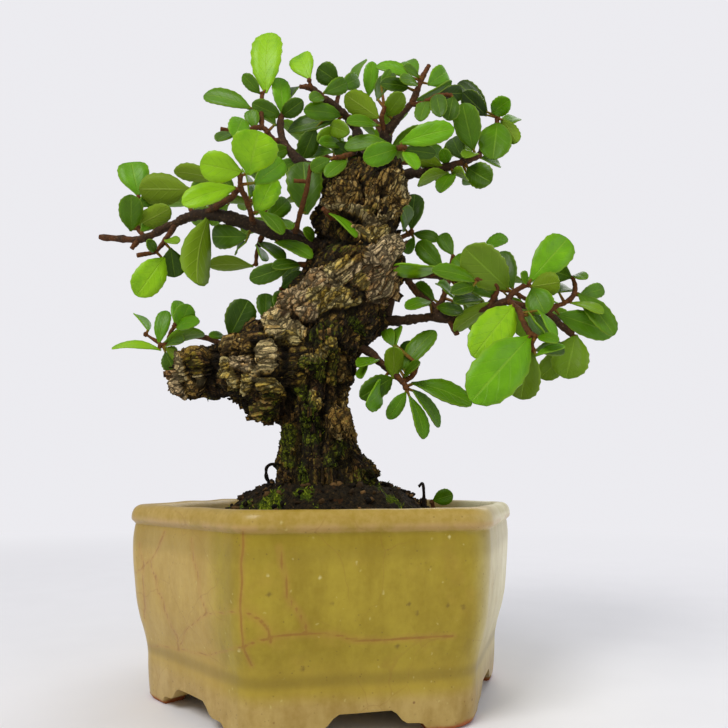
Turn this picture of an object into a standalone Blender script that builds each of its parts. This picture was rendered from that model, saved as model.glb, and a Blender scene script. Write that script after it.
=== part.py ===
"""A small evergreen bonsai that grows in a glazed six-sided pot.

Run with: blender --background --python part.py (or from Blender's text editor).
Metres, +Z up. The origin is under the middle of the whole, on the surface that the pot's feet stand
on, and -Y is the tree's front. Lengths in the lists below are millimetres from the pot's axis, and
the finished pieces are moved by POT_X so that the origin comes under the middle.

A branch or a leaf is given as it shows from the front: x and z on the upright plane through the
pot's axis, and how far it really lies in front of that plane. seen() turns that into a place.
"""

import itertools
import math
import random
from functools import partial

import bmesh
import bpy
from mathutils import Vector, noise
from mathutils.bvhtree import BVHTree

MM = 0.001

# Where the pot's axis stands from the origin, because the branches reach further to the right
POT_X = -4.2

# Where the front is seen from
EYE = Vector((8.0, -168.0, 46.0))
EYE_DISTANCE = 168.0

# Pot
POT_TURN = 13.3
POT_CORNER_ROUNDING = 8.0
POT_UNDERSIDE = 4.8
POT_FLOOR = 9.0
RIM_TOP = 41.0
FOOT_RING_INNER = 33.5
# Radius at the rounded corners against height, up the outer side and over the rolled rim
POT_OUTSIDE = (
    (39.6, 0.0), (40.5, 1.2), (40.8, 9.0), (41.4, 12.5), (43.0, 17.0), (44.4, 25.0), (45.2, 33.5),
    (45.0, 36.6), (45.9, 38.2), (45.4, 40.0), (43.8, RIM_TOP),
)
# Down the inner side to the floor
POT_INSIDE = ((41.6, 40.4), (40.8, 37.0), (38.6, 18.0), (36.2, 10.5), (33.4, POT_FLOOR))
# One half of the arch between two feet: distance from the side's middle against height
FOOT_ARCH = (
    (0.0, 4.6), (4.9, 4.6), (6.0, 3.9), (7.0, 2.7), (8.0, 2.1), (10.0, 2.0), (11.0, 1.8), (11.8, 0.9),
    (12.4, -1.0),
)
DRAIN_RADIUS = 3.5
DRAIN_OFFSET = 13.0

# Soil
SOIL_GAP = 0.45
SOIL_EDGE = 37.2
MOUND_RISE = 7.7
MOUND_MIDDLE_X = -0.8
MOUND_TOP_RADIUS = 14.0
MOUND_FOOT_RADIUS = 29.0
SOIL_RINGS = 7

# Trunk: each limb is a chain of (x, depth towards the front, z, radius)
LIMBS = {
    "column": ((-1, 0, 36, 11), (-2.5, 0, 44, 11), (-3.4, 0, 50, 9.7), (-3.2, 0, 56, 9.3),
               (-4.4, 0, 62, 8.4), (-4.6, 0, 66.5, 8.3), (-5.3, 0, 70, 7.7), (-4.7, 0, 74, 9.2),
               (-4, 0, 79, 10.5), (-0.5, 0, 87, 11.5),
               (3.5, 0, 95, 12.3), (7.2, 0, 102, 11.9), (7.0, 0, 106.5, 10.5), (5.2, 0, 110, 9.2),
               (6.6, 0, 114, 11), (8.5, 0, 119.5, 11.3), (11.5, 0, 124, 9.3), (13.8, -1, 127.5, 4.5)),
    "right root": ((-1.6, 1, 58, 5.4), (1.6, 1, 52, 4.8), (5.4, 0, 47.6, 5.0), (7.8, 0, 42, 5.2)),
    "right clump": ((5.5, 3, 49.5, 3.0), (10.2, 3, 48.4, 2.0)),
    "left root": ((-8, 3, 56, 4.5), (-8.6, 4, 49, 5), (-8.6, 4, 42, 5)),
    "front root": ((-3, 4, 55, 5), (-2.4, 6, 48, 5.4), (-2, 6.5, 42, 5)),
    "back root": ((-2, -3, 58, 6), (0, -6, 49, 5.6), (1, -6.5, 42, 5)),
    "stub": ((-3, 0, 73, 9), (-11, 0, 73.6, 11.6), (-17, 0, 73.8, 11.8), (-22, 0, 74, 9.4),
             (-27, 0, 74, 7.0), (-29.6, 0, 73.7, 6.4), (-32, 0, 72.8, 7.3), (-34.2, 0, 71.8, 6.8),
             (-36.2, 0, 70.4, 4.8)),
    "stub bump": ((-17, 0, 80, 5), (-19.8, 0, 83.4, 3.9)),
    "stub foot": ((-13, 1, 68, 7), (-16.3, 2, 65.6, 5.6)),
    "diagonal": ((-13, 4, 84.6, 3.8), (-9.6, 3.5, 86.3, 6.0), (-3, 3, 92.4, 7.3), (4, 3, 98, 8.6),
                 (11.6, 1, 102.2, 7.6)),
    "right bulge": ((1, 0, 84, 8), (7.6, 0, 86, 6.6)),
    "left nub": ((0, 2, 110, 4), (-4.3, 2, 111.9, 2.7)),
}
# Knobs and ridges of old bark: (x, depth, z, radius)
KNOBS = (
    (-11.5, 7.5, 82.4, 4.0), (-17, 9.6, 77.4, 4.6), (-15.4, 9.8, 69.2, 4.6), (-27, 5.6, 74.6, 2.8),
    (-24.2, 7.2, 71.2, 3.2), (-21.4, 8.6, 70, 3.0), (-16, 6, 62.8, 3.4), (-35, 5, 74.5, 3.4),
    (0, 8.4, 79.6, 3.6), (-5, 8.6, 74, 3.2), (1.5, 8, 59.5, 3.6), (-6, 8.2, 63, 3.4), (8, 5.6, 84, 3.2),
    (10, 9.6, 100, 4.4), (2, 10, 117.5, 3.6), (13, 7, 119, 4.6), (12.6, -8, 101, 4.4), (-14, -9, 76, 4.4),
    (-25, -6, 72, 3.4), (-3, -8.4, 66, 3.6), (4, -10, 90, 4.6), (5, -9, 117, 4.4), (-8, -7, 55, 3.2),
)
BARK_VOXEL = 1.1
BARK_COARSE = 1.2
BARK_FINE = 0.8
TRUNK_TRIANGLES = 2200
FOOT_BOTTOM = 30.0
FOOT_RADII = (13.2, 11.4)
FOOT_TOP = 47.6
HOLE_SLACK = 0.6
SEAT_GAP = 0.4

# Leaves. A blade's outline: how far along it, and the share of its full width
BLADE_STATIONS = ((0.0, 0.15), (0.4, 0.84), (0.8, 0.92))
BLADE_THICKNESS = 0.9
PETIOLE_RADIUS = 0.42
SHORT_STALK = 2.6
BLADE_FOLD = 0.16
BLADE_ARCH = 0.07
LEAST_BREADTH = 0.42
CLEAR_MARGIN = 0.5
KIN_MARGIN = 0.3
ROOT_STAGGER = 0.017
SWING_STEP = 1.7
SWINGS = (0, 1, -1, 2, -2, 3, -3, 4, -4, 5, -5, 6, -6)
STOUT_TWIG = 2.5
FLAT_ANGLES = (1.0, 0.5, 2.0, 0.2, 0.0)
LEAF_GREEN = (0.10, 0.25, 0.015, 1)
TWIG_BROWN = (0.045, 0.026, 0.013, 1)

# Branches, by the spray they belong to. A route is (x, z, depth, thickness), and a leaf on it is
# (x and z of the blade's foot, x and z of its tip, width, lean of the tip to the front, +1 where
# its upper face shows or -1 where its underside does).
SPRAYS = {
    "spray_left": {
        "limb": (
            ((0, 104.2, 0, 5.4), (-8, 106.3, 2, 4.9), (-14, 109.2, 4, 4.3), (-20, 111.4, 5, 3.9),
             (-26, 113.4, 5, 3.6), (-30, 114.5, 4, 3.5), (-34, 114.5, 3, 3.0), (-38, 113.5, 2, 2.6),
             (-42, 111.5, 1, 2.4), (-48, 108.6, 0, 2.1), (-52, 107.5, -1, 1.9), (-60.5, 108.5, -3, 1.6)),
            ((-32.5, 114, -35.3, 95.4, 7.8, 7, -1), (-21.8, 108.5, -31.5, 108.5, 6.5, -5, 1),
             (-15, 107, -5.5, 103, 3, 5, 1), (-17.5, 113, -11.8, 118.5, 5, -6, 1),
             (-15.5, 112.5, -11, 111, 1.6, 7, 1), (-5, 107.5, -7.5, 110.5, 2.5, 7, 1),
             (-22.5, 107, -25, 104.2, 1.2, -7, 1), (-50, 109.5, -46, 113.5, 3.5, -6, 1)),
        ),
        "spur": (
            ((-50, 108.2, -1, 1.5), (-52, 105.3, 0, 1.3)),
            (),
        ),
        "hanging": (
            ((-41, 112, 1, 1.7), (-43.5, 107.5, 4, 1.5), (-46, 104.5, 6, 1.3), (-50.5, 103.3, 8, 1.2)),
            ((-43.5, 102.8, -50, 92.8, 7.5, 3, 1), (-42, 105.5, -40.5, 97.6, 6, -3, 1),
             (-43, 107.5, -40.3, 106.5, 2.2, 6, 1), (-46, 104.5, -48, 107.5, 2.5, 6, 1)),
        ),
        "knob twig": (
            ((-33.5, 114.6, 3, 2.0), (-30, 117.2, 7, 1.8), (-27, 119, 10, 1.6), (-25, 121.5, 14, 1.4)),
            ((-30.5, 124, -42, 126.5, 4.5, -2, -1), (-25.5, 122, -39.5, 117.2, 5.5, 5, 1)),
        ),
        "back twig": (
            ((-36, 114, 2, 1.6), (-38, 118, -2, 1.3), (-37.4, 121.5, -3, 1.1)),
            ((-37.5, 121.5, -51, 121.5, 8.5, -1, -1), (-38, 119, -31, 125.5, 5.5, -6, 1)),
        ),
        "outer riser": (
            ((-49, 108.4, 0, 1.5), (-51.5, 113, -4, 1.3), (-51, 119.5, -6, 1.1)),
            ((-52.5, 110, -53, 120, 6, 5, 1), (-52.3, 110.5, -42.5, 116.3, 5.5, 4, -1),
             (-51, 119.5, -53.5, 129.3, 8, -2, 1), (-51.3, 117, -45, 120.5, 4.5, -6, 1)),
        ),
        "riser": (
            ((-20.4, 111, 6, 1.8), (-21.3, 114, 9, 1.6), (-22.5, 118.5, 13, 1.5), (-24.3, 121.5, 17, 1.4),
             (-24.6, 125.8, 21, 1.2)),
            ((-22.5, 125.5, -20, 138, 12, 4, 1), (-24, 126.3, -35.3, 128.8, 8, 3, 1),
             (-21, 123, -13, 129.5, 6, -4, 1), (-20.3, 114.5, -15.5, 125, 6.5, 2, 1),
             (-22, 119, -23.3, 126.5, 2.4, -6, 1), (-19.5, 115.5, -13.3, 109.5, 3, 5, 1)),
        ),
        "orange shoot": (
            ((-10, 107.5, 3, 1.7), (-8.5, 116, 8, 1.4), (-7, 122, 11, 1.3), (-6, 128.3, 13, 1.1)),
            ((-7, 114.5, -8, 129, 9.5, -8, 1),),
        ),
        "orange side": (
            ((-6.9, 123.6, 11.6, 1.2), (-10.5, 124, 12, 1.1)),
            (),
        ),
        "under twig": (
            ((-18, 110.5, 3, 1.5), (-19.5, 105, -3, 1.3), (-19.8, 101, -6, 1.1)),
            ((-20.5, 100.5, -32, 100.5, 3.8, -2, -1), (-20, 106, -18, 102.3, 1.4, 7, 1),
             (-19.5, 107, -12.5, 102.2, 2.6, 4, 1)),
        ),
    },
    "shoot_shoulder": {
        "shoot": (
            ((0, 100.2, 2, 1.8), (-7, 101, 5, 1.5), (-11, 100.9, 6, 1.2)),
            ((-10.5, 100.8, -21.3, 97, 4.8, 1, 1), (-8, 100.8, -15.5, 100.5, 2.6, 5, 1)),
        ),
    },
    "shoot_log": {
        "shoot": (
            ((-5, 88, -6, 1.8), (-11.6, 91.5, -6, 1.5), (-13.2, 94.6, -6, 1.2)),
            ((-13, 94.8, -7.5, 98.8, 3.8, 4, 1), (-13, 94, -14.3, 90, 3.3, 5, 1),
             (-12.6, 95.5, -9.2, 101, 3, -4, 1)),
        ),
    },
    "shoot_notch": {
        "shoot": (
            ((-12, 80, -3, 1.8), (-16.6, 86.2, -3, 1.4)),
            ((-17, 86.3, -17, 93.4, 4.8, -2, 1),),
        ),
    },
    "shoot_stub": {
        "shoot": (
            ((-24, 77, -3, 1.8), (-26, 82.4, -4, 1.4)),
            ((-26, 82, -21.5, 91.5, 7.4, 1, 1), (-27, 81.8, -31, 82.4, 1.8, 5, 1)),
        ),
    },
    "shoot_neck": {
        "shoot": (
            ((0, 113, 7, 1.6), (-2.6, 116.2, 12, 1.2)),
            ((-1.5, 115, 6, 108.3, 1.6, 2, 1),),
        ),
    },
    "spray_left_low": {
        "twig": (
            ((-22, 77, -6, 2.0), (-30.5, 81.2, -8.5, 1.6), (-35.5, 82, -9, 1.4), (-40, 81, -8, 1.3),
             (-43.5, 79.5, -7, 1.1)),
            ((-43, 78.5, -55.5, 79.5, 1.8, 2, 1), (-43.7, 80, -42.3, 88.8, 3.8, -2, 1),
             (-42.5, 80.3, -32.5, 83, 3.3, 4, -1), (-42, 79.5, -37.5, 80.7, 1.8, 7, 1),
             (-42, 79, -39, 76.5, 2.8, 6, -1), (-42, 78, -39.5, 73, 4.2, 3, 1)),
        ),
        "upper fork": (
            ((-41.5, 80.6, -7.6, 1.2), (-41, 83, -7, 1.1), (-39.5, 85.5, -6, 1.0)),
            ((-40, 85.3, -39, 91.5, 3.5, -4, 1), (-38.8, 84.5, -36.5, 90.3, 5, 3, 1),
             (-39.5, 84.3, -34, 86, 3, 6, 1)),
        ),
        "left fork": (
            ((-42.8, 79.8, -7.2, 1.1), (-47.5, 82.8, -8, 1.0)),
            ((-46.5, 83.5, -50, 87.8, 1.8, -5, 1),),
        ),
    },
    "spray_crown_left": {
        "stem": (
            ((6, 122, 0, 4.2), (0, 125, 1, 3.6), (-4, 127, 2, 3.1), (-8, 128.5, 3, 2.9),
             (-11, 131.5, 3, 2.6), (-13.5, 134.5, 2, 2.4), (-14.2, 138, 1, 2.1), (-14, 142.6, 0, 1.8)),
            ((-14, 143, -14.8, 153.8, 5, -2, 1), (-14.2, 142.3, -22, 146, 4.5, 4, 1),
             (-14, 142.3, -8.5, 146.8, 4.5, 4, 1), (-12.4, 146.8, -9.8, 151, 2.5, -6, 1),
             (-12, 133, -17.5, 131, 4, 5, 1), (-9, 130, -15, 126.8, 3.5, -5, 1)),
        ),
        "fork": (
            ((-13.8, 135, 2, 2.0), (-16.3, 135.6, 3, 1.8), (-19.3, 139.2, 4, 1.7), (-25, 137.7, 6, 1.5),
             (-30.3, 138.5, 7, 1.3)),
            ((-24.5, 141.5, -26.5, 136.5, 5.5, 7, 1), (-15.5, 139.5, -22, 144.5, 3.5, -5, 1),
             (-21, 138.5, -22.5, 144, 4, -4, 1), (-26, 137, -31, 135, 2.2, 7, 1)),
        ),
        "tip": (
            ((-19.3, 139, 4, 1.5), (-19.6, 144, 2, 1.3), (-19.3, 149, 1, 1.1)),
            ((-18.5, 149, -17.8, 167, 8.3, -3, 1), (-20, 148.8, -24.7, 154.6, 3.5, 3, 1),
             (-22.3, 144.5, -35, 148.4, 4.5, -2, 1)),
        ),
    },
    "spray_crown_top": {
        "stem": (
            ((9, 124, -2, 4.2), (7, 132, -3, 3.3), (6, 138, -4, 3.0), (4, 141.5, -3, 2.8),
             (2.5, 143, -2, 2.6), (0, 145.5, -1, 2.4), (-3, 147.5, 0, 2.1), (-6.5, 150.5, 1, 1.8),
             (-9.3, 151, 2, 1.5)),
            ((-3, 149, 3.2, 152, 4.5, -4, 1), (-3, 148, -6.5, 146.8, 3, 6, 1), (2, 142.5, -8, 144, 4.5, 6, 1),
             (1, 140.8, -12.3, 138.2, 4, -2, 1), (-5, 139, -8.2, 130.5, 5.5, -3, 1),
             (1, 138.5, -4.5, 135, 4, 5, 1), (-1, 139.5, 4, 137.5, 4.5, 7, 1), (2, 134, -4, 134.5, 3, 5, 1),
             (0, 132, -6.5, 131.5, 3, -5, 1), (7.5, 129.5, 0, 134, 4.5, 6, 1)),
        ),
        "spur": (
            ((-6, 150, 1, 1.4), (-6.8, 152.8, 2, 1.1)),
            ((-6.6, 153, -9.8, 160, 6.8, -4, 1),),
        ),
        "side": (
            ((0.4, 145.2, -1, 1.5), (1.2, 149, -4, 1.2), (1.5, 152.3, -5, 1.0)),
            ((1.2, 152.2, -4.5, 156.5, 6, 3, 1), (1.4, 150.5, 6.5, 153.5, 4.5, -5, 1)),
        ),
        "low twig": (
            ((7.2, 131.5, -3, 1.8), (6, 131.8, 4, 1.6), (3.5, 131, 9, 1.4), (0, 130.2, 12, 1.2)),
            ((3.6, 129.5, -2, 125, 3.5, 3, 1), (5.2, 130, -0.3, 121.3, 2.2, 5, 1),
             (-1, 130, -6, 127, 4, 3, 1)),
        ),
    },
    "spray_crown_right": {
        "stem": (
            ((13, 125, 1, 4.2), (14, 134, 3, 3.1), (13.5, 137, 4, 2.9), (15.5, 139.5, 5, 2.6),
             (18, 143, 5, 2.3), (20.5, 146, 5, 2.0), (22.5, 150, 4, 1.7), (24, 154, 3, 1.5),
             (25.5, 157.2, 2, 1.3)),
            ((21, 153.5, 11.5, 157.6, 3.2, -2, 1), (20, 150.5, 12.5, 151.8, 3.5, 5, 1),
             (14, 142.5, 18.5, 149, 5, 6, 1), (22.5, 154, 19.5, 158.3, 4, -6, 1),
             (22.8, 153.5, 19, 157, 1.8, 5, 1), (25.2, 151.5, 30.5, 155.5, 5.5, -4, 1),
             (22.5, 151.5, 17.8, 152.8, 2.5, 7, 1), (22, 147, 31.5, 152.3, 3.2, -3, 1)),
        ),
        "bud twig": (
            ((13, 137.5, 4, 1.5), (12.7, 141.5, 7, 1.3), (13.5, 145, 8, 1.2)),
            ((12, 141.8, 3, 148.5, 6.5, 2, -1), (11.8, 139.5, 3.5, 140.8, 2.8, 5, 1),
             (11.5, 146.8, 15.5, 155, 4, -3, 1), (12.6, 151, 15, 156, 2.2, -6, 1)),
        ),
        "back twig": (
            ((13.2, 136, 2, 1.8), (10.5, 142, -4, 1.5), (8.5, 147, -8, 1.2), (5.5, 149.3, -12, 1.0)),
            ((4.8, 149.5, 8.2, 158.8, 2.4, -3, 1), (9.2, 148, 10.3, 158.3, 4, 3, 1)),
        ),
        "side": (
            ((20.3, 145.7, 5, 1.5), (24, 146.2, 7, 1.3), (28, 148.5, 8, 1.1), (31.5, 148.3, 8, 1.0)),
            ((28, 148.8, 34.5, 149, 4.5, -5, 1), (27.5, 148.6, 28.5, 142.5, 4.5, 5, 1),
             (32, 148, 30.5, 141, 5, 1, 1), (25, 146.5, 23, 141, 4, 5, 1)),
        ),
        "front twig": (
            ((14.5, 130, 5, 2.0), (16.5, 132.8, 12, 1.6), (19, 133.4, 17, 1.3)),
            ((17.5, 134.5, 32, 138.7, 5.8, 4, 1), (17, 133, 7.8, 130, 6, 3, 1),
             (18.6, 132, 21.8, 127.3, 3, 5, 1), (18.4, 132.8, 27, 131.5, 4, -1, 1),
             (14, 134.8, 2.8, 133.5, 4, -4, 1)),
        ),
    },
    "spray_crown_low": {
        "stem": (
            ((14, 123.5, 1, 3.4), (20, 126, 3, 2.8), (24, 126.2, 4, 2.5), (28, 127.3, 4, 2.3),
             (32, 128.3, 3, 2.1), (36, 130, 2, 1.9), (38.5, 131, 1, 1.7)),
            ((37, 132.5, 34.5, 146, 7, 4, 1), (23, 134.6, 28, 130.5, 5, -6, 1),
             (29.2, 127, 21.8, 130, 3.5, 6, -1), (30, 128.8, 28.8, 133, 3.2, 6, 1),
             (34, 130, 31.5, 136, 5, -5, 1), (37.5, 131.5, 34.5, 130.3, 2.2, 7, 1),
             (29.8, 126, 22, 123.3, 3.2, 5, -1), (31.5, 125.8, 28, 121, 3.4, 6, 1),
             (31.2, 126, 34.8, 125, 2.8, 8, -1), (35, 126.5, 35.2, 122.6, 2.8, -6, 1),
             (35.3, 127.5, 41.5, 123.5, 6.5, 5, 1), (38.8, 130.3, 43.8, 128.2, 2.2, -6, 1)),
        ),
        "shoot": (
            ((38, 131, 1, 1.6), (41, 136, -2, 1.4), (43.5, 140, -3, 1.3), (43.8, 142, -3, 1.2),
             (45, 144.5, -2, 1.1), (46, 146, -1, 1.0)),
            ((41, 143.2, 33.5, 152, 5.5, -3, 1), (40.8, 142.4, 34.6, 149.3, 5, 5, 1),
             (42.3, 143.3, 47, 147, 5, 6, 1), (43.7, 140.5, 42, 129.7, 8.5, 5, 1),
             (45, 141.5, 48.8, 134.5, 4, 3, -1), (44.5, 139, 49, 141.6, 3, -6, 1)),
        ),
    },
    "shoot_right_neck": {
        "shoot": (
            ((11, 105.5, -5, 2.0), (18.6, 108.6, -8, 1.5), (20.6, 110, -8, 1.3)),
            ((20.3, 110.3, 21.3, 120.2, 5.5, -2, 1), (18.5, 110.5, 18, 116, 3, 5, 1),
             (20.7, 109.3, 27.3, 107.8, 2.8, 4, 1), (21, 108.4, 18.8, 104, 2.8, -5, 1)),
        ),
    },
    "spray_right": {
        "limb": (
            ((7, 85.6, 0, 3.6), (14, 86, 1, 3.0), (18, 86.2, 2, 2.8), (22, 86.8, 3, 2.6), (26, 87.2, 4, 2.5),
             (30, 86.5, 5, 2.4), (34, 88, 6, 2.2), (40, 90, 8, 2.0), (45, 91.5, 9, 1.9)),
            ((38, 91.5, 31, 91.2, 2.8, 6, 1), (43, 91, 30.5, 83.8, 4, -2, -1),
             (25, 91, 18.6, 89.2, 2.8, 6, 1), (26.6, 89.8, 33, 88.5, 3.3, 5, 1)),
        ),
        "stub": (
            ((29.6, 86.6, 5, 1.9), (31.5, 82.5, 6, 1.5)),
            (),
        ),
        "second limb": (
            ((13, 101.5, -2, 2.6), (17, 99, 0, 2.3), (20, 95.5, 1, 2.1), (22, 93, 2, 2.0),
             (25, 90.5, 3, 1.9), (27, 88.3, 4, 1.8)),
            (),
        ),
        "up fork": (
            ((26, 87.5, 4, 2.2), (26.5, 89.5, 4, 2.1), (28, 92, 3, 1.9), (29, 95, 2, 1.7), (30, 98, 1, 1.5),
             (30.5, 101, 0, 1.3), (31, 103.4, 0, 1.1)),
            ((28.2, 99.8, 22, 107, 5, -3, 1), (28.3, 100.3, 15.8, 100.6, 3.2, 5, 1),
             (32, 90.6, 27, 96, 1.6, 7, 1), (26, 91.5, 21, 95.7, 4.2, -4, 1), (31, 103.4, 28, 109, 4, -5, 1)),
        ),
        "upper twig": (
            ((39.5, 90, 8, 1.5), (42, 94.2, 10, 1.3), (40.5, 96.5, 11, 1.2), (36.8, 97, 12, 1.0)),
            ((36.5, 96.5, 25.5, 99.5, 3.8, 3, 1), (36.5, 97.5, 31.5, 103, 5, -4, 1),
             (36, 95, 30.3, 93.5, 3.2, 5, 1), (42, 92, 34, 96.3, 4, -5, 1)),
        ),
        "back twig": (
            ((41.5, 90.4, 8, 1.6), (41, 97, 1, 1.3), (38.8, 104.5, -3, 1.0)),
            ((38.5, 105, 45, 108.6, 3.5, -3, 1), (40.5, 98, 47, 101.5, 5, -6, 1)),
        ),
        "middle": (
            ((44.5, 91.5, 9, 1.8), (46, 93.5, 9, 1.6), (48.5, 95, 8, 1.4), (50.2, 95.6, 8, 1.2)),
            ((44.8, 94.5, 34, 105.5, 10, 5, 1), (46, 94.5, 43, 104.3, 6, -3, 1),
             (49.5, 96, 48.3, 98.6, 1.8, 6, 1), (50.3, 96.5, 60.8, 108, 9, -2, 1),
             (50.5, 95, 58.2, 96.3, 6, 4, -1), (51, 94.8, 54, 88, 7, 3, 1)),
        ),
        "dropping twig": (
            ((45, 91.3, 9, 1.8), (47.5, 89, 12, 1.6), (48, 86.5, 15, 1.5), (49.5, 83.5, 17, 1.4),
             (51.5, 82, 18, 1.2)),
            ((46, 90, 35.5, 77, 9.5, 10, 1), (49.8, 82, 35, 66, 12, 9, 1), (49.9, 79.5, 47, 66, 8, -6, 1),
             (52, 89, 56, 81.5, 1.8, 4, 1), (51, 88, 55, 82.5, 3, -4, 1), (49.8, 88.5, 53.5, 82, 2, 6, 1),
             (52, 82, 57, 80.5, 2.5, 6, 1)),
        ),
        "drop stub": (
            ((49.9, 83.1, 17, 1.4), (50.5, 78.5, 18, 1.2)),
            ((51, 78.5, 58.5, 79, 4, -4, 1), (51, 77, 58.6, 79.6, 1.6, 3, 1)),
        ),
        "outer": (
            ((45.4, 91.1, 9, 1.8), (49, 90, 7, 1.7), (54, 88.5, 5, 1.6), (56.5, 89.8, 4, 1.5),
             (58.5, 90.5, 4, 1.4), (61, 92, 4, 1.3), (62, 94.5, 3, 1.2), (61.5, 97.5, 2, 1.1)),
            ((61.3, 97.5, 54, 100.5, 6.5, -4, 1), (61.8, 98, 65, 97.3, 1.8, 6, 1),
             (57.5, 93.5, 60.5, 94.6, 3, -7, 1), (62.8, 92.6, 69.3, 94.6, 4, -4, 1),
             (62.5, 93.4, 71, 82.2, 5, 4, 1), (60.5, 90.8, 68.8, 88, 2, 5, 1),
             (57, 87.8, 71, 82.8, 6.5, -2, 1)),
        ),
        "outer knob": (
            ((54, 88.5, 5, 1.7), (57.5, 85.5, 4, 2.1), (60.5, 82.6, 3, 1.6)),
            ((61.5, 82.5, 58.5, 71.5, 9, 2, 1), (61, 79.6, 52, 71.5, 6, -4, 1)),
        ),
    },
    "spray_right_low": {
        "stem": (
            ((2, 81, 2, 2.8), (9, 78.4, 4, 2.3), (12, 75.5, 5, 2.0), (15.5, 72.5, 6, 1.8),
             (17.5, 70.5, 7, 1.6), (18.6, 68.8, 8, 1.4)),
            ((15.5, 71.2, 15.5, 79.3, 4.8, 5, -1), (19.8, 70.2, 34.8, 65, 4.8, 3, 1),
             (18.5, 68, 14, 61.3, 3.6, 2, 1), (19.2, 67, 22.5, 56.2, 3.2, 3, 1),
             (20, 68.5, 26.7, 59.3, 2.8, -3, 1), (15, 71.5, 7, 66.5, 5.5, 6, 1),
             (11.6, 70, 9.2, 64.8, 3, 8, 1), (11.5, 76, 6.6, 74.6, 2, 8, 1), (8.6, 75, 7.4, 71.5, 2, 8, 1)),
        ),
        "fork": (
            ((17.7, 70.3, 7, 1.4), (20.5, 72.5, 8, 1.2), (21.5, 75, 9, 1.1)),
            ((15.5, 79.5, 13.5, 84, 3.5, -5, 1), (16, 79.5, 16.8, 84.3, 2.8, -6, 1),
             (16.6, 73.5, 20, 80.8, 4, -4, 1), (17.6, 73.4, 26, 83.5, 4.8, -1, 1),
             (18, 71.5, 22, 75.4, 1.8, 6, 1)),
        ),
    },
    "seedling": {
        "stem": (
            ((25.2, 36.4, -6, 1.3), (24.4, 41.2, -6, 1.1)),
            ((24.7, 41.5, 29.5, 42.9, 3.8, 2, 1),),
        ),
    },
    "dead_twig": {
        "twig": (
            ((22.5, 36.6, 2, 1.1), (22.5, 45.0, 2, 0.8), (21.3, 44.8, 2, 0.8)),
            (),
        ),
    },
}

# Branches at the back, whose leaves follow a rule: route as above, then how many leaves, how long
# and where on the route the first one stands
BACK_SPRAYS = {
    "spray_back_left": (
        (((2, 103, -4, 3.2), (-6, 107, -14, 2.6), (-14, 113, -20, 2.2), (-21, 118, -24, 1.8),
          (-28, 119, -27, 1.4), (-34, 117, -28, 1.2)), 12, 11, 0.34),
        (((-14, 113, -20, 1.8), (-16, 119, -27, 1.4), (-18, 122, -34, 1.1)), 4, 10, 0.3),
    ),
    "spray_back_right": (
        (((9, 100, -4, 3.2), (17, 98, -14, 2.6), (27, 98, -20, 2.2), (36, 95, -23, 1.8),
          (45, 94, -24, 1.4), (52, 90, -24, 1.2)), 12, 11, 0.36),
        (((27, 98, -20, 1.8), (31, 93, -28, 1.4), (34, 91, -36, 1.1)), 4, 10, 0.3),
    ),
    "spray_back_crown": (
        (((10, 118, -5, 3.4), (10, 124, -14, 2.8), (12, 129, -20, 2.4), (14, 133, -24, 1.9),
          (15, 137, -27, 1.4)), 11, 11, 0.36),
        (((10, 124, -14, 2.0), (2, 129, -20, 1.6), (-5, 132, -24, 1.2)), 7, 11, 0.3),
        (((12, 129, -20, 1.9), (21, 129, -24, 1.5), (29, 130, -26, 1.2)), 7, 11, 0.3),
    ),
}
ROOTED_IN_SOIL = ("seedling", "dead_twig")


def clear_scene():
    for old in list(bpy.data.objects):
        bpy.data.objects.remove(old)


def material(name, colour, roughness):
    """One plain finish."""
    made = bpy.data.materials.new(name)
    made.use_nodes = True
    shader = made.node_tree.nodes["Principled BSDF"]
    shader.inputs["Base Color"].default_value = colour
    shader.inputs["Roughness"].default_value = roughness
    shader.inputs["Metallic"].default_value = 0.0
    return made


def object_from(name, mesh, collection, finish=None):
    made = bpy.data.objects.new(name, mesh)
    collection.objects.link(made)
    if finish:
        mesh.materials.clear()
        mesh.materials.append(finish)
    return made


def mesh_from(name, bm):
    mesh = bpy.data.meshes.new(name)
    bm.to_mesh(mesh)
    bm.free()
    return mesh


def evaluated_mesh(item):
    """A mesh of the object as its modifiers leave it."""
    graph = bpy.context.evaluated_depsgraph_get()
    graph.update()
    return bpy.data.meshes.new_from_object(item.evaluated_get(graph))


def apply_modifiers(item):
    mesh = evaluated_mesh(item)
    item.modifiers.clear()
    item.data = mesh


def hide_cutter(item):
    item.hide_render = True
    item.display_type = "WIRE"


def seen(x, z, depth=0.0):
    """The place that shows at (x, z) on the front plane and lies depth in front of it."""
    flat = Vector((x, 0.0, z))
    return (flat + (EYE - flat) * (depth / EYE_DISTANCE)) * MM


# Pot

def hexagon_ring(bm, radius, height):
    """A ring of vertices: six corners rounded by arcs, radius being that at a corner's middle."""
    rounding = POT_CORNER_ROUNDING
    centre = radius - rounding
    ring = []
    for corner in range(6):
        middle = math.radians(POT_TURN + 60 * corner)
        for step in (-1, -0.33, 0.33, 1):
            turn = middle + math.radians(30 * step)
            x = centre * math.cos(middle) + rounding * math.cos(turn)
            y = centre * math.sin(middle) + rounding * math.sin(turn)
            ring.append(bm.verts.new(Vector((x, y, height)) * MM))
    return ring


def join_rings(bm, lower, upper):
    count = len(lower)
    for i in range(count):
        j = (i + 1) % count
        bm.faces.new((lower[i], lower[j], upper[j], upper[i]))


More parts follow.
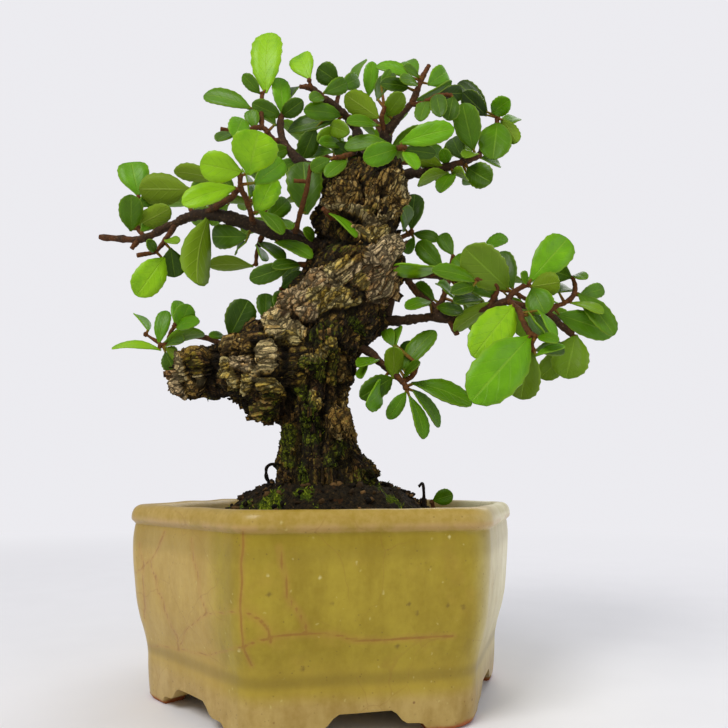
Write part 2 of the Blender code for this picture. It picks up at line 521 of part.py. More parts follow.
def arch_cutter(collection, side):
    """The outline of two opposite arches, drawn right through the pot."""
    outline = [(t, z) for t, z in reversed(FOOT_ARCH)] + [(-t, z) for t, z in FOOT_ARCH[1:]]
    bm = bmesh.new()
    reach = 60.0
    turn = math.radians(POT_TURN + 30 + 60 * side)
    along = Vector((-math.sin(turn), math.cos(turn), 0))
    out = Vector((math.cos(turn), math.sin(turn), 0))
    face = bm.faces.new([bm.verts.new((along * t + Vector((0, 0, z)) - out * reach) * MM) for t, z in outline])
    grown = bmesh.ops.extrude_face_region(bm, geom=[face])
    moved = [v for v in grown["geom"] if isinstance(v, bmesh.types.BMVert)]
    bmesh.ops.translate(bm, verts=moved, vec=out * 2 * reach * MM)
    bmesh.ops.recalc_face_normals(bm, faces=bm.faces)
    cutter = object_from("arch cutter", mesh_from("arch cutter", bm), collection)
    hide_cutter(cutter)
    return cutter


def drain_cutter(collection, side):
    bm = bmesh.new()
    bmesh.ops.create_cone(bm, cap_ends=True, segments=16, radius1=DRAIN_RADIUS * MM,
                          radius2=DRAIN_RADIUS * MM, depth=20 * MM)
    bmesh.ops.translate(bm, verts=bm.verts, vec=Vector((side * DRAIN_OFFSET, 0, POT_UNDERSIDE)) * MM)
    cutter = object_from("drain cutter", mesh_from("drain cutter", bm), collection)
    hide_cutter(cutter)
    return cutter


def cut(item, cutters, solver="EXACT"):
    for cutter in cutters:
        change = item.modifiers.new("cut", "BOOLEAN")
        change.operation = "DIFFERENCE"
        change.solver = solver
        change.object = cutter
    apply_modifiers(item)


def make_pot(parts, cutters):
    """One fired shell: foot ring, wall, rolled rim, inner wall and floor, then arches and drains."""
    bm = bmesh.new()
    profile = [(FOOT_RING_INNER, POT_UNDERSIDE), (FOOT_RING_INNER + 0.6, 0.0), *POT_OUTSIDE, *POT_INSIDE]
    rings = [hexagon_ring(bm, radius, height) for radius, height in profile]
    for lower, upper in zip(rings, rings[1:]):
        join_rings(bm, lower, upper)
    bm.faces.new(list(reversed(rings[0])))
    bm.faces.new(rings[-1])
    bmesh.ops.recalc_face_normals(bm, faces=bm.faces)
    pot = object_from("pot", mesh_from("pot", bm), parts, material("glaze", (0.33, 0.26, 0.09, 1), 0.25))
    cut(pot, [arch_cutter(cutters, side) for side in range(3)]
        + [drain_cutter(cutters, side) for side in (-1, 1)])
    pot.data.set_sharp_from_angle(angle=math.radians(35))
    return pot


# Soil

def soil_height(x, y):
    """The mound round the trunk, and small lumps."""
    spread = math.hypot(x - MOUND_MIDDLE_X, y / 0.85)
    share = min(max((MOUND_FOOT_RADIUS - spread) / (MOUND_FOOT_RADIUS - MOUND_TOP_RADIUS), 0), 1)
    mound = MOUND_RISE * share * share * (3 - 2 * share)
    lumps = 0.9 * noise.noise(Vector((x * 0.21, y * 0.21, 3.0))) * min(1.0, 0.3 + share)
    return SOIL_EDGE + mound + lumps


def make_soil(parts, cutters):
    bm = bmesh.new()
    walls = [(radius - SOIL_GAP, height) for radius, height in reversed(POT_INSIDE[1:])]
    walls[0] = (walls[0][0], POT_FLOOR + 0.35)
    walls[-1] = (walls[-1][0], SOIL_EDGE)
    rings = [hexagon_ring(bm, radius, height) for radius, height in walls]
    for lower, upper in zip(rings, rings[1:]):
        join_rings(bm, lower, upper)
    bm.faces.new(list(reversed(rings[0])))
    outer = rings[-1]
    for step in range(1, SOIL_RINGS):
        share = 1 - step / SOIL_RINGS
        inner = []
        for v in rings[-1]:
            x, y = v.co.x / MM * share, v.co.y / MM * share
            inner.append(bm.verts.new(Vector((x, y, soil_height(x, y))) * MM))
        join_rings(bm, outer, inner)
        outer = inner
    bm.faces.new(outer)
    bmesh.ops.triangulate(bm, faces=bm.faces)
    bmesh.ops.recalc_face_normals(bm, faces=bm.faces)
    soil = object_from("soil", mesh_from("soil", bm), parts, material("wet soil", (0.02, 0.014, 0.009, 1), 0.9))
    bm = bmesh.new()
    bmesh.ops.create_cone(bm, cap_ends=True, segments=32, radius1=MM, radius2=MM, depth=40 * MM)
    wide, deep = (radius + HOLE_SLACK for radius in FOOT_RADII)
    bmesh.ops.scale(bm, verts=bm.verts, vec=(wide, deep, 1))
    bmesh.ops.translate(bm, verts=bm.verts, vec=Vector((0, 0, FOOT_BOTTOM - SEAT_GAP + 20)) * MM)
    holes = [object_from("trunk hole", mesh_from("trunk hole", bm), cutters)]
    for name in ROOTED_IN_SOIL:
        route = next(iter(SPRAYS[name].values()))[0]
        foot = seen(*route[0][:3])
        top = seen(*route[1][:3])
        bm = bmesh.new()
        width = (route[0][3] / 2 + 0.35) * MM
        bmesh.ops.create_cone(bm, cap_ends=True, segments=8, radius1=width, radius2=width, depth=12 * MM)
        lean = Vector((0, 0, 1)).rotation_difference(top - foot).to_matrix()
        bmesh.ops.rotate(bm, verts=bm.verts, cent=(0, 0, 0), matrix=lean)
        bmesh.ops.translate(bm, verts=bm.verts, vec=foot + (top - foot).normalized() * 5.6 * MM)
        holes.append(object_from(name + " hole", mesh_from(name + " hole", bm), cutters))
    for hole in holes:
        hide_cutter(hole)
    cut(soil, holes)
    return soil


# Trunk

def tube_mesh(name, points, radii, sides, spare):
    """A closed tube through points in metres, its ends welded shut."""
    curve = bpy.data.curves.new(name, "CURVE")
    curve.dimensions = "3D"
    curve.bevel_depth = MM
    curve.bevel_resolution = max(0, sides // 2 - 2)
    curve.use_fill_caps = True
    spline = curve.splines.new("POLY")
    spline.points.add(len(points) - 1)
    for point, place, radius in zip(spline.points, points, radii):
        point.co = (*place, 1)
        point.radius = radius
    item = object_from(name, curve, spare)
    mesh = evaluated_mesh(item)
    bpy.data.objects.remove(item)
    bm = bmesh.new()
    bm.from_mesh(mesh)
    bmesh.ops.remove_doubles(bm, verts=bm.verts, dist=0.02 * MM)
    bmesh.ops.recalc_face_normals(bm, faces=bm.faces)
    bm.to_mesh(mesh)
    bm.free()
    return mesh


def add_ball(bm, centre, radius):
    made = bmesh.ops.create_icosphere(bm, subdivisions=2, radius=radius * MM)
    bmesh.ops.translate(bm, verts=made["verts"], vec=centre * MM)


def bark_lift(place):
    """Plates and long fissures: how far the bark stands out, in mm."""
    p = place / MM
    grain = noise.noise(Vector((p.x * 0.33, p.y * 0.33, p.z * 0.12)))
    furrow = noise.noise(Vector((p.x * 0.75 + 7, p.y * 0.75, p.z * 0.3)))
    return BARK_COARSE * grain - BARK_FINE * (0.5 - abs(furrow) * 2)


def make_trunk(parts, spare):
    """Limbs and knobs melted into one body, roughened, and its foot fitted to its hole."""
    bm = bmesh.new()
    for name, chain in LIMBS.items():
        points = [Vector((x, -depth, z)) * MM for x, depth, z, _ in chain]
        bm.from_mesh(tube_mesh(name, points, [radius for *_, radius in chain], 12, spare))
        for x, depth, z, radius in (chain[0], chain[-1]):
            add_ball(bm, Vector((x, -depth, z)), radius * 0.98)
    for x, depth, z, radius in KNOBS:
        add_ball(bm, Vector((x, -depth, z)), radius)
    trunk = object_from("trunk", mesh_from("trunk", bm), parts)
    melt = trunk.modifiers.new("melt", "REMESH")
    melt.mode = "VOXEL"
    melt.voxel_size = BARK_VOXEL * MM
    melt.adaptivity = 0
    apply_modifiers(trunk)
    bm = bmesh.new()
    bm.from_mesh(trunk.data)
    bmesh.ops.smooth_vert(bm, verts=bm.verts, factor=0.5, use_axis_x=True, use_axis_y=True, use_axis_z=True)
    bm.normal_update()
    lifts = [(v, v.normal.copy(), bark_lift(v.co)) for v in bm.verts]
    for v, normal, lift in lifts:
        v.co += normal * lift * MM
    bm.to_mesh(trunk.data)
    triangles = sum(len(face.verts) - 2 for face in bm.faces)
    bm.free()
    thin = trunk.modifiers.new("thin", "DECIMATE")
    thin.ratio = TRUNK_TRIANGLES / triangles
    apply_modifiers(trunk)
    bm = bmesh.new()
    bm.from_mesh(trunk.data)
    wide, deep = (radius * MM for radius in FOOT_RADII)
    for v in bm.verts:
        if v.co.z < FOOT_TOP * MM:
            reach = math.hypot(v.co.x / wide, v.co.y / deep)
            if reach > 1:
                v.co.x /= reach
                v.co.y /= reach
            v.co.z = max(v.co.z, FOOT_BOTTOM * MM)
    bmesh.ops.triangulate(bm, faces=bm.faces)
    bmesh.ops.dissolve_degenerate(bm, edges=bm.edges, dist=0.01 * MM)
    bm.to_mesh(trunk.data)
    bm.free()
    trunk.data.materials.clear()
    trunk.data.materials.append(material("old bark", (0.12, 0.085, 0.045, 1), 0.85))
    return trunk


def swollen_copy(item, by, collection):
    """The body grown outwards, which cuts a seat that clears it."""
    bm = bmesh.new()
    bm.from_mesh(item.data)
    bm.normal_update()
    grown = [(v, v.co + v.normal * by * MM) for v in bm.verts]
    for v, place in grown:
        v.co = place
    made = object_from(item.name + " seat", mesh_from(item.name + " seat", bm), collection)
    hide_cutter(made)
    return made


# Sprays of wood and leaves

class Leaf:
    """One blade on its stalk: where it is rooted, its foot, its tip and how it faces."""

    def __init__(self, root, foot, tip, breadth, upper):
        self.root = root
        self.foot = foot
        self.tip = tip
        self.breadth = breadth
        self.upper = upper

    def frame(self):
        along = (self.tip - self.foot).normalized()
        across = along.cross(self.upper).normalized()
        return along, across, across.cross(along)

    def stalked(self):
        """Whether the foot stands off its twig; a shorter leaf narrows straight into the wood."""
        return (self.foot - self.root).length > SHORT_STALK * MM

    def sections(self, margin=0.0):
        """Left edge, rib above, right edge and rib below, at each station from foot to tip."""
        length = (self.tip - self.foot).length
        _, across, up = self.frame()
        rows = []
        for share, width in BLADE_STATIONS:
            half = (self.breadth * width / 2 + margin) * MM
            middle = self.foot.lerp(self.tip, share) + up * BLADE_ARCH * length * 4 * share * (1 - share)
            edge = up * BLADE_FOLD * half
            thick = up * (BLADE_THICKNESS / 2 * (0.75 if share == 0 else 1) + margin) * MM
            rows.append((middle - across * half + edge, middle + thick,
                         middle + across * half + edge, middle - thick))
        return rows

    def stalk_ring(self, middle, axis):
        """The stalk's section square to axis, its corners in the order of a blade's section."""
        _, across, _ = self.frame()
        side = (across - axis * across.dot(axis)).normalized() * PETIOLE_RADIUS * MM
        up = side.cross(axis)
        return middle - side, middle + up, middle + side, middle - up

    def build(self, bm, margin=0.0, first=None):
        """Adds the closed blade to bm, each quad split alike on both faces, with its stalk or none."""
        rows = self.sections(margin)
        if first is not None:
            rows = rows[first:]
        else:
            along, _, _ = self.frame()
            stalk = (self.foot - self.root).normalized()
            rows[0] = self.stalk_ring(self.foot, (stalk + along).normalized())
            if self.stalked():
                rows.insert(0, self.stalk_ring(self.root, stalk))
            else:
                middle = (rows[1][1] + rows[1][3]) / 2
                rows[0] = self.stalk_ring(self.root, (middle - self.root).normalized())
        rings = [[bm.verts.new(place) for place in row] for row in rows]
        left, top, right, below = rings[0]
        bm.faces.new((left, top, right))
        bm.faces.new((left, right, below))
        for near, far in zip(rings, rings[1:]):
            for a, b in ((0, 1), (2, 1), (0, 3), (2, 3)):
                bm.faces.new((near[a], near[b], far[b]))
                bm.faces.new((near[a], far[b], far[a]))
        tip = bm.verts.new(self.tip)
        left, top, right, below = rings[-1]
        for a, b in ((left, top), (top, right), (right, below), (below, left)):
            bm.faces.new((a, b, tip))

    def shape(self, margin, first):
        """The blade from one of its stations on, for the test of what it crosses."""
        bm = bmesh.new()
        self.build(bm, margin, first)
        tree = BVHTree.FromBMesh(bm)
        bm.free()
        reach = (self.tip - self.foot).length / 2 + (self.breadth + 1) * MM
        return (self.foot + self.tip) / 2, reach, tree


def crosses(shape, others):
    middle, reach, tree = shape
    for other_middle, other_reach, other in others:
        if (middle - other_middle).length < reach + other_reach and tree.overlap(other):
            return True
    return False


def nearest_on_route(route, x, z, index):
    """The point of a route that shows closest to (x, z), with its depth, a little apart for each leaf."""
    best = None
    for (x0, z0, d0, _), (x1, z1, d1, _) in zip(route, route[1:]):
        run, rise = x1 - x0, z1 - z0
        share = ((x - x0) * run + (z - z0) * rise) / (run * run + rise * rise)
        share = min(max(share, 0.03 + ROOT_STAGGER * index), 0.97 - ROOT_STAGGER * index)
        near = (x0 + run * share, z0 + rise * share, d0 + (d1 - d0) * share)
        gap = math.hypot(near[0] - x, near[1] - z)
        if best is None or gap < best[0]:
            best = (gap, near)
    return best[1]


def seen_leaf(twig, index, swing, way):
    """A leaf from the front's reading, its tip swung by so many mm to the front, rolled one way."""
    route, readings = twig
    foot_x, foot_z, tip_x, tip_z, width, lean, face = readings[index]
    near = nearest_on_route(route, foot_x, foot_z, index)
    root = seen(*near)
    reach = math.hypot(foot_x - near[0], foot_z - near[1])
    toward = math.copysign(min(1.0, 0.2 * reach), lean)
    foot = seen(foot_x, foot_z, near[2] + toward)
    tip = seen(tip_x, tip_z, near[2] + toward + lean + swing)
    shown = width * (EYE_DISTANCE - near[2]) / EYE_DISTANCE
    length = (tip - foot).length / MM
    breadth = max(shown, LEAST_BREADTH * length)
    along = (tip - foot).normalized()
    sight = (EYE * MM - foot).normalized()
    flat = along.cross(sight).normalized()
    facing = flat.cross(along).normalized() * face
    roll = math.acos(min(1.0, shown / breadth))
    turned = [facing * math.cos(roll) + flat * math.sin(roll) * sign for sign in (1, -1)]
    turned.sort(key=lambda normal: -normal.z)
    return Leaf(root, foot, tip, breadth, turned[way])


def settle(make, others, kin):
    """The first swing that keeps the blade clear of other sprays, and its outer part of its own."""
    for step in SWINGS:
        for way in (0, 1):
            leaf = make(step * SWING_STEP, way)
            if crosses(leaf.shape(KIN_MARGIN, 1), kin) or crosses(leaf.shape(CLEAR_MARGIN, 0), others):
                continue
            kin.append(leaf.shape(0.0, 1))
            return leaf
    return None


def sprouted(route, count, length, start, draw, others, kin):
    """Leaves set round a twig, two fifths of a turn apart, longer on its outer half."""
    places = [seen(x, z, depth) for x, z, depth, _ in route]
    leaves = []
    for index in range(count):
        share = start + (0.99 - start) * index / (count - 1)
        spot = share * (len(places) - 1)
        piece = min(int(spot), len(places) - 2)
        root = places[piece].lerp(places[piece + 1], min(spot - piece, 0.95))
        along = (places[piece + 1] - places[piece]).normalized()
        side = along.cross(Vector((0, 0, 1))).normalized()
        over = side.cross(along)
        own_length = length * draw.uniform(0.75, 1.15)
        tilt = draw.uniform(-0.25, 0.25)

        def make(swing, way):
            turn = math.radians(144 * index + 9 * swing + 20 * way)
            out = side * math.cos(turn) + over * math.sin(turn)
            aim = (out + along * (0.75 if index < count - 1 else 2.5)).normalized()
            foot = root + aim * 2.2 * MM
            upper = (Vector((tilt, 0.15, 1)) - aim * aim.z).normalized()
            return Leaf(root, foot, foot + aim * own_length * MM, own_length * 0.55, upper)

        leaf = settle(make, others, kin)
        if leaf:
            leaves.append(leaf)
    return leaves


def rooted(route, earlier):
    """The route with its first point moved onto the nearest earlier limb of its spray."""
    start = Vector(route[0][:3])
    best = None
    for other in earlier:
        for near, far in zip(other, other[1:]):
            a, b = Vector(near[:3]), Vector(far[:3])
            share = min(max((start - a).dot(b - a) / (b - a).length_squared, 0.05), 0.95)
            spot = a.lerp(b, share)
            if best is None or (spot - start).length < (best - start).length:
                best = spot
    return ((*best, route[0][3]), *route[1:]) if earlier else route


def wood_mesh(name, route, spare):
    points = [seen(x, z, depth) for x, z, depth, _ in route]
    sides = 6 if route[0][3] > STOUT_TWIG else 4
    return tube_mesh(name, points, [thick / 2 for *_, thick in route], sides, spare)


def tree_of(mesh):
    """A mesh as something to test against, with the ball that holds it."""
    bm = bmesh.new()
    bm.from_mesh(mesh)
    tree = BVHTree.FromBMesh(bm)
    middle = sum((v.co for v in bm.verts), Vector()) / len(bm.verts)
    reach = max((v.co - middle).length for v in bm.verts)
    bm.free()
    return middle, reach, tree


def is_clean(mesh):
    """Whether every edge joins just two faces."""
    bm = bmesh.new()
    bm.from_mesh(mesh)
    clean = all(len(edge.link_faces) == 2 for edge in bm.edges)
    bm.free()
    return clean


def fused_mesh(body, joined, seat, flat_angle, method):
    """The union of a spray's pieces, cut clear of the trunk, its flat bits merged, in triangles."""
    if joined.objects:
        union = body.modifiers.new("join", "BOOLEAN")
        union.operation = "UNION"
        union.operand_type = "COLLECTION"
        union.collection = joined
        union.solver = "MANIFOLD"
    if seat:
        clear = body.modifiers.new("seat", "BOOLEAN")
        clear.operation = "DIFFERENCE"
        clear.solver = "MANIFOLD"
        clear.object = seat
    mesh = evaluated_mesh(body)
    body.modifiers.clear()
    bm = bmesh.new()
    bm.from_mesh(mesh)
    keep_largest(bm)
    bmesh.ops.dissolve_limit(bm, angle_limit=math.radians(flat_angle), verts=bm.verts, edges=bm.edges)
    bmesh.ops.triangulate(bm, faces=bm.faces, ngon_method=method)
    bm.to_mesh(mesh)
    bm.free()
    return mesh


def fuse(name, meshes, parts, spare, seat):
    """One body from a spray's wood and leaves."""
    joined = bpy.data.collections.new(name + " pieces")
    spare.children.link(joined)
    body = object_from(name, meshes[0], parts)
    for mesh in meshes[1:]:
        object_from(name + " piece", mesh, joined)
    for flat_angle, method in itertools.product(FLAT_ANGLES, ("EAR_CLIP", "BEAUTY")):
        mesh = fused_mesh(body, joined, seat, flat_angle, method)
        if is_clean(mesh):
            break
    body.data = mesh
    for piece in list(joined.objects):
        bpy.data.objects.remove(piece)
    bpy.data.collections.remove(joined)
    return body


def keep_largest(bm):
    """Drops every scrap that a cut left loose."""
    waiting = set(bm.verts)
    groups = []
    while waiting:
        group = set()
        front = [waiting.pop()]
        while front:
            v = front.pop()
            group.add(v)
            for edge in v.link_edges:
                other = edge.other_vert(v)
                if other in waiting:
                    waiting.discard(other)
                    front.append(other)
        groups.append(group)
    groups.sort(key=len)
    for group in groups[:-1]:
        bmesh.ops.delete(bm, geom=list(group), context="VERTS")


def leaf_mesh(leaf, name):
    bm = bmesh.new()
    leaf.build(bm)
    for face in bm.faces:
        face.material_index = 1
    bmesh.ops.recalc_face_normals(bm, faces=bm.faces)
    return mesh_from(name, bm)


def rooted_twigs(name):
    """A spray's twigs in order, each one's route begun on an earlier one."""
    routes = []
    twigs = []
    for route, *rest in SPRAYS[name].values() if name in SPRAYS else BACK_SPRAYS[name]:
        routes.append(rooted(route, routes))
        twigs.append((routes[-1], *rest))
    return twigs


def grown_leaves(name, twigs, draw, others):
    """All leaves of a spray, clear of the others and of one another."""
    leaves = []
    kin = []
    for twig in twigs:
        if name in BACK_SPRAYS:
            leaves += sprouted(*twig, draw, others, kin)
        else:
            tries = [settle(partial(seen_leaf, twig, index), others, kin) for index in range(len(twig[1]))]
            leaves += [leaf for leaf in tries if leaf]
    return leaves


def make_sprays(parts, spare, trunk):
    """Every branch with its leaves, one body each, seated clear of the trunk."""
    seat = swollen_copy(trunk, SEAT_GAP, spare)
    finishes = (material("twig bark", TWIG_BROWN, 0.8), material("leaf", LEAF_GREEN, 0.4))
    names = list(SPRAYS) + list(BACK_SPRAYS)
    twigs = {name: rooted_twigs(name) for name in names}
    wood = {name: [wood_mesh(name + " twig", route, spare) for route, *_ in twigs[name]] for name in names}
    stems = {name: [tree_of(mesh) for mesh in meshes] for name, meshes in wood.items()}
    trunk_tree = tree_of(trunk.data)
    draw = random.Random(7)
    blades = []
    for name in names:
        others = [trunk_tree] + blades
        others += [tree for other, trees in stems.items() if other != name for tree in trees]
        leaves = grown_leaves(name, twigs[name], draw, others)
        blades += [leaf.shape(0.0, 0) for leaf in leaves]
        meshes = wood[name] + [leaf_mesh(leaf, name) for leaf in leaves]
        for mesh in meshes:
            mesh.materials.append(finishes[0])
            mesh.materials.append(finishes[1])
        fuse(name, meshes, parts, spare, None if name in ROOTED_IN_SOIL else seat)


clear_scene()
tree_parts = bpy.data.collections.new("bonsai")
guides = bpy.data.collections.new("guides")
bpy.context.scene.collection.children.link(tree_parts)
bpy.context.scene.collection.children.link(guides)
make_pot(tree_parts, guides)
make_soil(tree_parts, guides)
make_sprays(tree_parts, guides, make_trunk(tree_parts, guides))
for piece in tree_parts.objects:
    piece.location.x = POT_X * MM
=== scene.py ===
"""A small evergreen bonsai in a glazed six-sided pot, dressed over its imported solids.

Metres, +Z up, -Y towards the camera. Lengths in the lists are millimetres from the pot's axis, and
stand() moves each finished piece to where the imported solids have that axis.
"""

import math
import random

import bmesh
import bpy
import numpy as np
from mathutils import Matrix, Vector, noise
from mathutils.geometry import interpolate_bezier
from mathutils.kdtree import KDTree


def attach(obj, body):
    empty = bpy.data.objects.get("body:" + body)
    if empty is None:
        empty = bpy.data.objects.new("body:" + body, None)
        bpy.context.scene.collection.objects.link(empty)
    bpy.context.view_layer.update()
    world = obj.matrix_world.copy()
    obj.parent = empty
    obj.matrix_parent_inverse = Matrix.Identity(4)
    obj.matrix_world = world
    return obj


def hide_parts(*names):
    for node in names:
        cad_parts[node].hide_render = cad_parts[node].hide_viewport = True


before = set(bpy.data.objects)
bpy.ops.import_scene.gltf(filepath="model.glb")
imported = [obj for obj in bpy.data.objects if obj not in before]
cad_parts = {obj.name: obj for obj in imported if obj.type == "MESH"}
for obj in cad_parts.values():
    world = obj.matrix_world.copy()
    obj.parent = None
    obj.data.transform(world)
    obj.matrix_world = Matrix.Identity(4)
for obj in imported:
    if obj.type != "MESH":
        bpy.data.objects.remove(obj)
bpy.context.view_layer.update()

# The pot's axis stands a little to the left of the origin, which lies under the middle of the whole.
MM = 0.001
POT_X = -4.2
AXIS = Vector((POT_X * MM, 0, 0))


# Studio: the camera stands low before the pot and looks a little up, where the photograph was taken.
# The floor is pale and seamless: away from the pot it glows like the air behind it, so no edge shows.
# A wide soft lamp above the front left is the key, and a weaker one fills from the right.
EYE = Vector((8.0, -168.0, 46.0))
EYE_DISTANCE = 168.0
EYE_TILT = 9.8
LENS = 33.63
BACKDROP = (0.84, 0.835, 0.87, 1)
FLOOR_RADIUS = 20.0
FLOOR_FADES_FROM = 0.10
FLOOR_FADES_TO = 0.55
AIR_HELD_BACK = 0.48
LAMPS_AIM = Vector((0, 0, 0.09))

bpy.context.scene.view_settings.view_transform = "Standard"

camera = bpy.data.objects.new("camera", bpy.data.cameras.new("camera"))
bpy.context.scene.collection.objects.link(camera)
camera.location = EYE * MM + AXIS
camera.rotation_euler = (math.radians(90 + EYE_TILT), 0, 0)
camera.data.sensor_width = 36
camera.data.lens = LENS
camera.data.clip_start = 0.002
bpy.context.scene.camera = camera


class Flow:
    """One socket of a node tree, so that shader maths reads as maths."""

    def __init__(self, tree, socket=None):
        self.tree = tree
        self.socket = socket

    def node(self, kind, settings=(), sockets=(), out=0):
        """Any other node: its settings come first, then its sockets, and one of its outputs comes back."""
        made = self.tree.nodes.new(kind)
        for name, value in dict(settings).items():
            if name == "stops":
                marks = made.color_ramp.elements
                marks.remove(marks[-1])
                marks[0].position, marks[0].color = value[0]
                for spot, colour in value[1:]:
                    marks.new(spot).color = colour
            else:
                setattr(made, name, value)
        for name, value in dict(sockets).items():
            if isinstance(value, Flow):
                self.tree.links.new(value.socket, made.inputs[name])
            else:
                made.inputs[name].default_value = value
        return Flow(self.tree, made.outputs[out])

    def maths(self, operation, *values):
        return self.node("ShaderNodeMath", {"operation": operation}, enumerate(values))

    def __add__(self, other):
        return self.maths("ADD", self, other)

    def __sub__(self, other):
        return self.maths("SUBTRACT", self, other)

    def __rsub__(self, other):
        return self.maths("SUBTRACT", other, self)

    def __mul__(self, other):
        return self.maths("MULTIPLY", self, other)

    __radd__ = __add__
    __rmul__ = __mul__

    def rising(self, low, high):
        """0 below low, 1 above high, smooth between; falling where low is the larger."""
        if low > high:
            return 1 - self.rising(high, low)
        return self.node("ShaderNodeMapRange", {"interpolation_type": "SMOOTHSTEP"},
                         {"Value": self, "From Min": low, "From Max": high})

    def mix(self, near, far):
        """This value, 0 to 1, leads from one colour to the other."""
        return self.node("ShaderNodeMix", {"data_type": "RGBA"}, {0: self, 6: near, 7: far}, 2)

    def times(self, x, y, z):
        """A vector, stretched along each axis."""
        return self.node("ShaderNodeVectorMath", {"operation": "MULTIPLY"}, {0: self, 1: (x, y, z)})

    def plus(self, other, amount):
        """A vector, pushed about by a colour."""
        push = self.node("ShaderNodeVectorMath", {"operation": "SCALE"}, {0: other, "Scale": amount})
        return self.node("ShaderNodeVectorMath", {"operation": "ADD"}, {0: self, 1: push})

    def part(self, axis):
        return self.node("ShaderNodeSeparateXYZ", (), {0: self}, axis)

    def clouds(self, scale, detail=3.0, rough=0.5, out=0):
        """Soft noise, so many patches to the millimetre."""
        return self.node("ShaderNodeTexNoise", (),
                         {"Vector": self, "Scale": scale, "Detail": detail, "Roughness": rough}, out)

    def cells(self, scale, feature="F1", out=0):
        return self.node("ShaderNodeTexVoronoi", {"feature": feature}, {"Vector": self, "Scale": scale}, out)

    def over(self, under, *colour):
        """A colour as a screen shows it, laid over another this thick, 0 to 1."""
        return self.mix(under, tint(*colour))

    def ramp(self, *stops):
        """The colour for this value, between stops given as (value, red, green, blue)."""
        marks = [(spot, tint(*colour)) for spot, *colour in stops]
        return self.node("ShaderNodeValToRGB", {"stops": marks}, {0: self})

    def mark(self, name, out="Fac"):
        """A number or a vector that the mesh carries."""
        return self.node("ShaderNodeAttribute", {"attribute_name": name}, (), out)

    def bump(self, height, depth):
        """The surface's normal over a height from 0 to 1, depth millimetres deep."""
        return self.node("ShaderNodeBump", (), {"Height": height, "Strength": 1.0, "Distance": depth * MM})


def tint(red, green, blue):
    """A colour as a screen shows it, 0 to 255, as the shaders count it."""
    return (*(((c / 255 + 0.055) / 1.055) ** 2.4 if c > 10 else c / 3294.6 for c in (red, green, blue)), 1)


def finish(name, paint, **constants):
    """A material: paint(flow, place in mm) gives the sockets that change, and constants are set plainly."""
    made = bpy.data.materials.new(name)
    made.use_nodes = True
    shader = made.node_tree.nodes["Principled BSDF"]
    for socket, value in constants.items():
        shader.inputs[socket.replace("_", " ")].default_value = value
    flow = Flow(made.node_tree)
    place = flow.node("ShaderNodeTexCoord", (), (), "Object").times(1000, 1000, 1000)
    for socket, value in paint(flow, place).items():
        made.node_tree.links.new(value.socket, shader.inputs[socket])
    return made


def floor_paint(flow, place):
    speckle = place.clouds(0.05, 2.0)
    return {"Base Color": speckle.mix((0.80, 0.80, 0.83, 1), (0.84, 0.84, 0.87, 1))}


floor_finish = finish("floor", floor_paint, Roughness=0.8)
floor_tree = floor_finish.node_tree
floor_flow = Flow(floor_tree)
floor_place = floor_flow.node("ShaderNodeTexCoord", (), (), "Object")
reach = floor_flow.node("ShaderNodeVectorMath", {"operation": "LENGTH"}, {0: floor_place}, "Value")
fade = reach.rising(FLOOR_FADES_FROM, FLOOR_FADES_TO)
glow = floor_flow.node("ShaderNodeEmission", (), {"Color": BACKDROP, "Strength": 1.0})
lit = Flow(floor_tree, floor_tree.nodes["Principled BSDF"].outputs[0])
both = floor_flow.node("ShaderNodeMixShader", (), {0: fade, 1: lit, 2: glow})
floor_tree.links.new(both.socket, floor_tree.nodes["Material Output"].inputs[0])

bm = bmesh.new()
bmesh.ops.create_circle(bm, cap_ends=True, segments=96, radius=FLOOR_RADIUS)
floor_mesh = bpy.data.meshes.new("floor")
bm.to_mesh(floor_mesh)
bm.free()
floor_mesh.materials.append(floor_finish)
floor = bpy.data.objects.new("floor", floor_mesh)
bpy.context.scene.collection.objects.link(floor)

air = bpy.data.worlds.new("studio air")
air.use_nodes = True
air_flow = Flow(air.node_tree)
# The air shows as bright as the backdrop and lights the tree with less
strength = 1.0 - AIR_HELD_BACK * (1.0 - air_flow.node("ShaderNodeLightPath"))
air.node_tree.links.new(strength.socket, air.node_tree.nodes["Background"].inputs["Strength"])
air.node_tree.nodes["Background"].inputs["Color"].default_value = BACKDROP
bpy.context.scene.world = air


def lamp(name, place, energy, size, colour):
    """A square soft lamp that looks at the middle of the tree."""
    made = bpy.data.objects.new(name, bpy.data.lights.new(name, "AREA"))
    bpy.context.scene.collection.objects.link(made)
    made.data.energy = energy
    made.data.size = size
    made.data.color = colour
    made.location = place
    made.rotation_euler = (LAMPS_AIM - Vector(place)).to_track_quat("-Z", "Y").to_euler()


lamp("key lamp", (-0.30, -0.42, 0.62), 3.4, 0.34, (1.0, 0.985, 0.95))
lamp("fill lamp", (0.50, -0.30, 0.30), 0.7, 0.40, (0.95, 0.97, 1.0))
lamp("back lamp", (0.20, 0.45, 0.50), 1.3, 0.40, (1.0, 1.0, 1.0))


# Pot: one hexagonal bowl of stoneware with rounded corners, a rolled rim and bracket feet. It was
# pressed in a mould and dipped in a runny ochre glaze, which crackled as it cooled. It is tan on the left
# side and the rim, and cream on the right corner, partly glaze and partly painted highlight; painted
# shadow darkens a band under the rim and the ledge above the feet. The feet's edges are bare clay.
POT_TURN = 13.3
CORNER_ROUNDING = 8.0
CORNER_SHARE = 0.2
POT_COLUMNS = 432
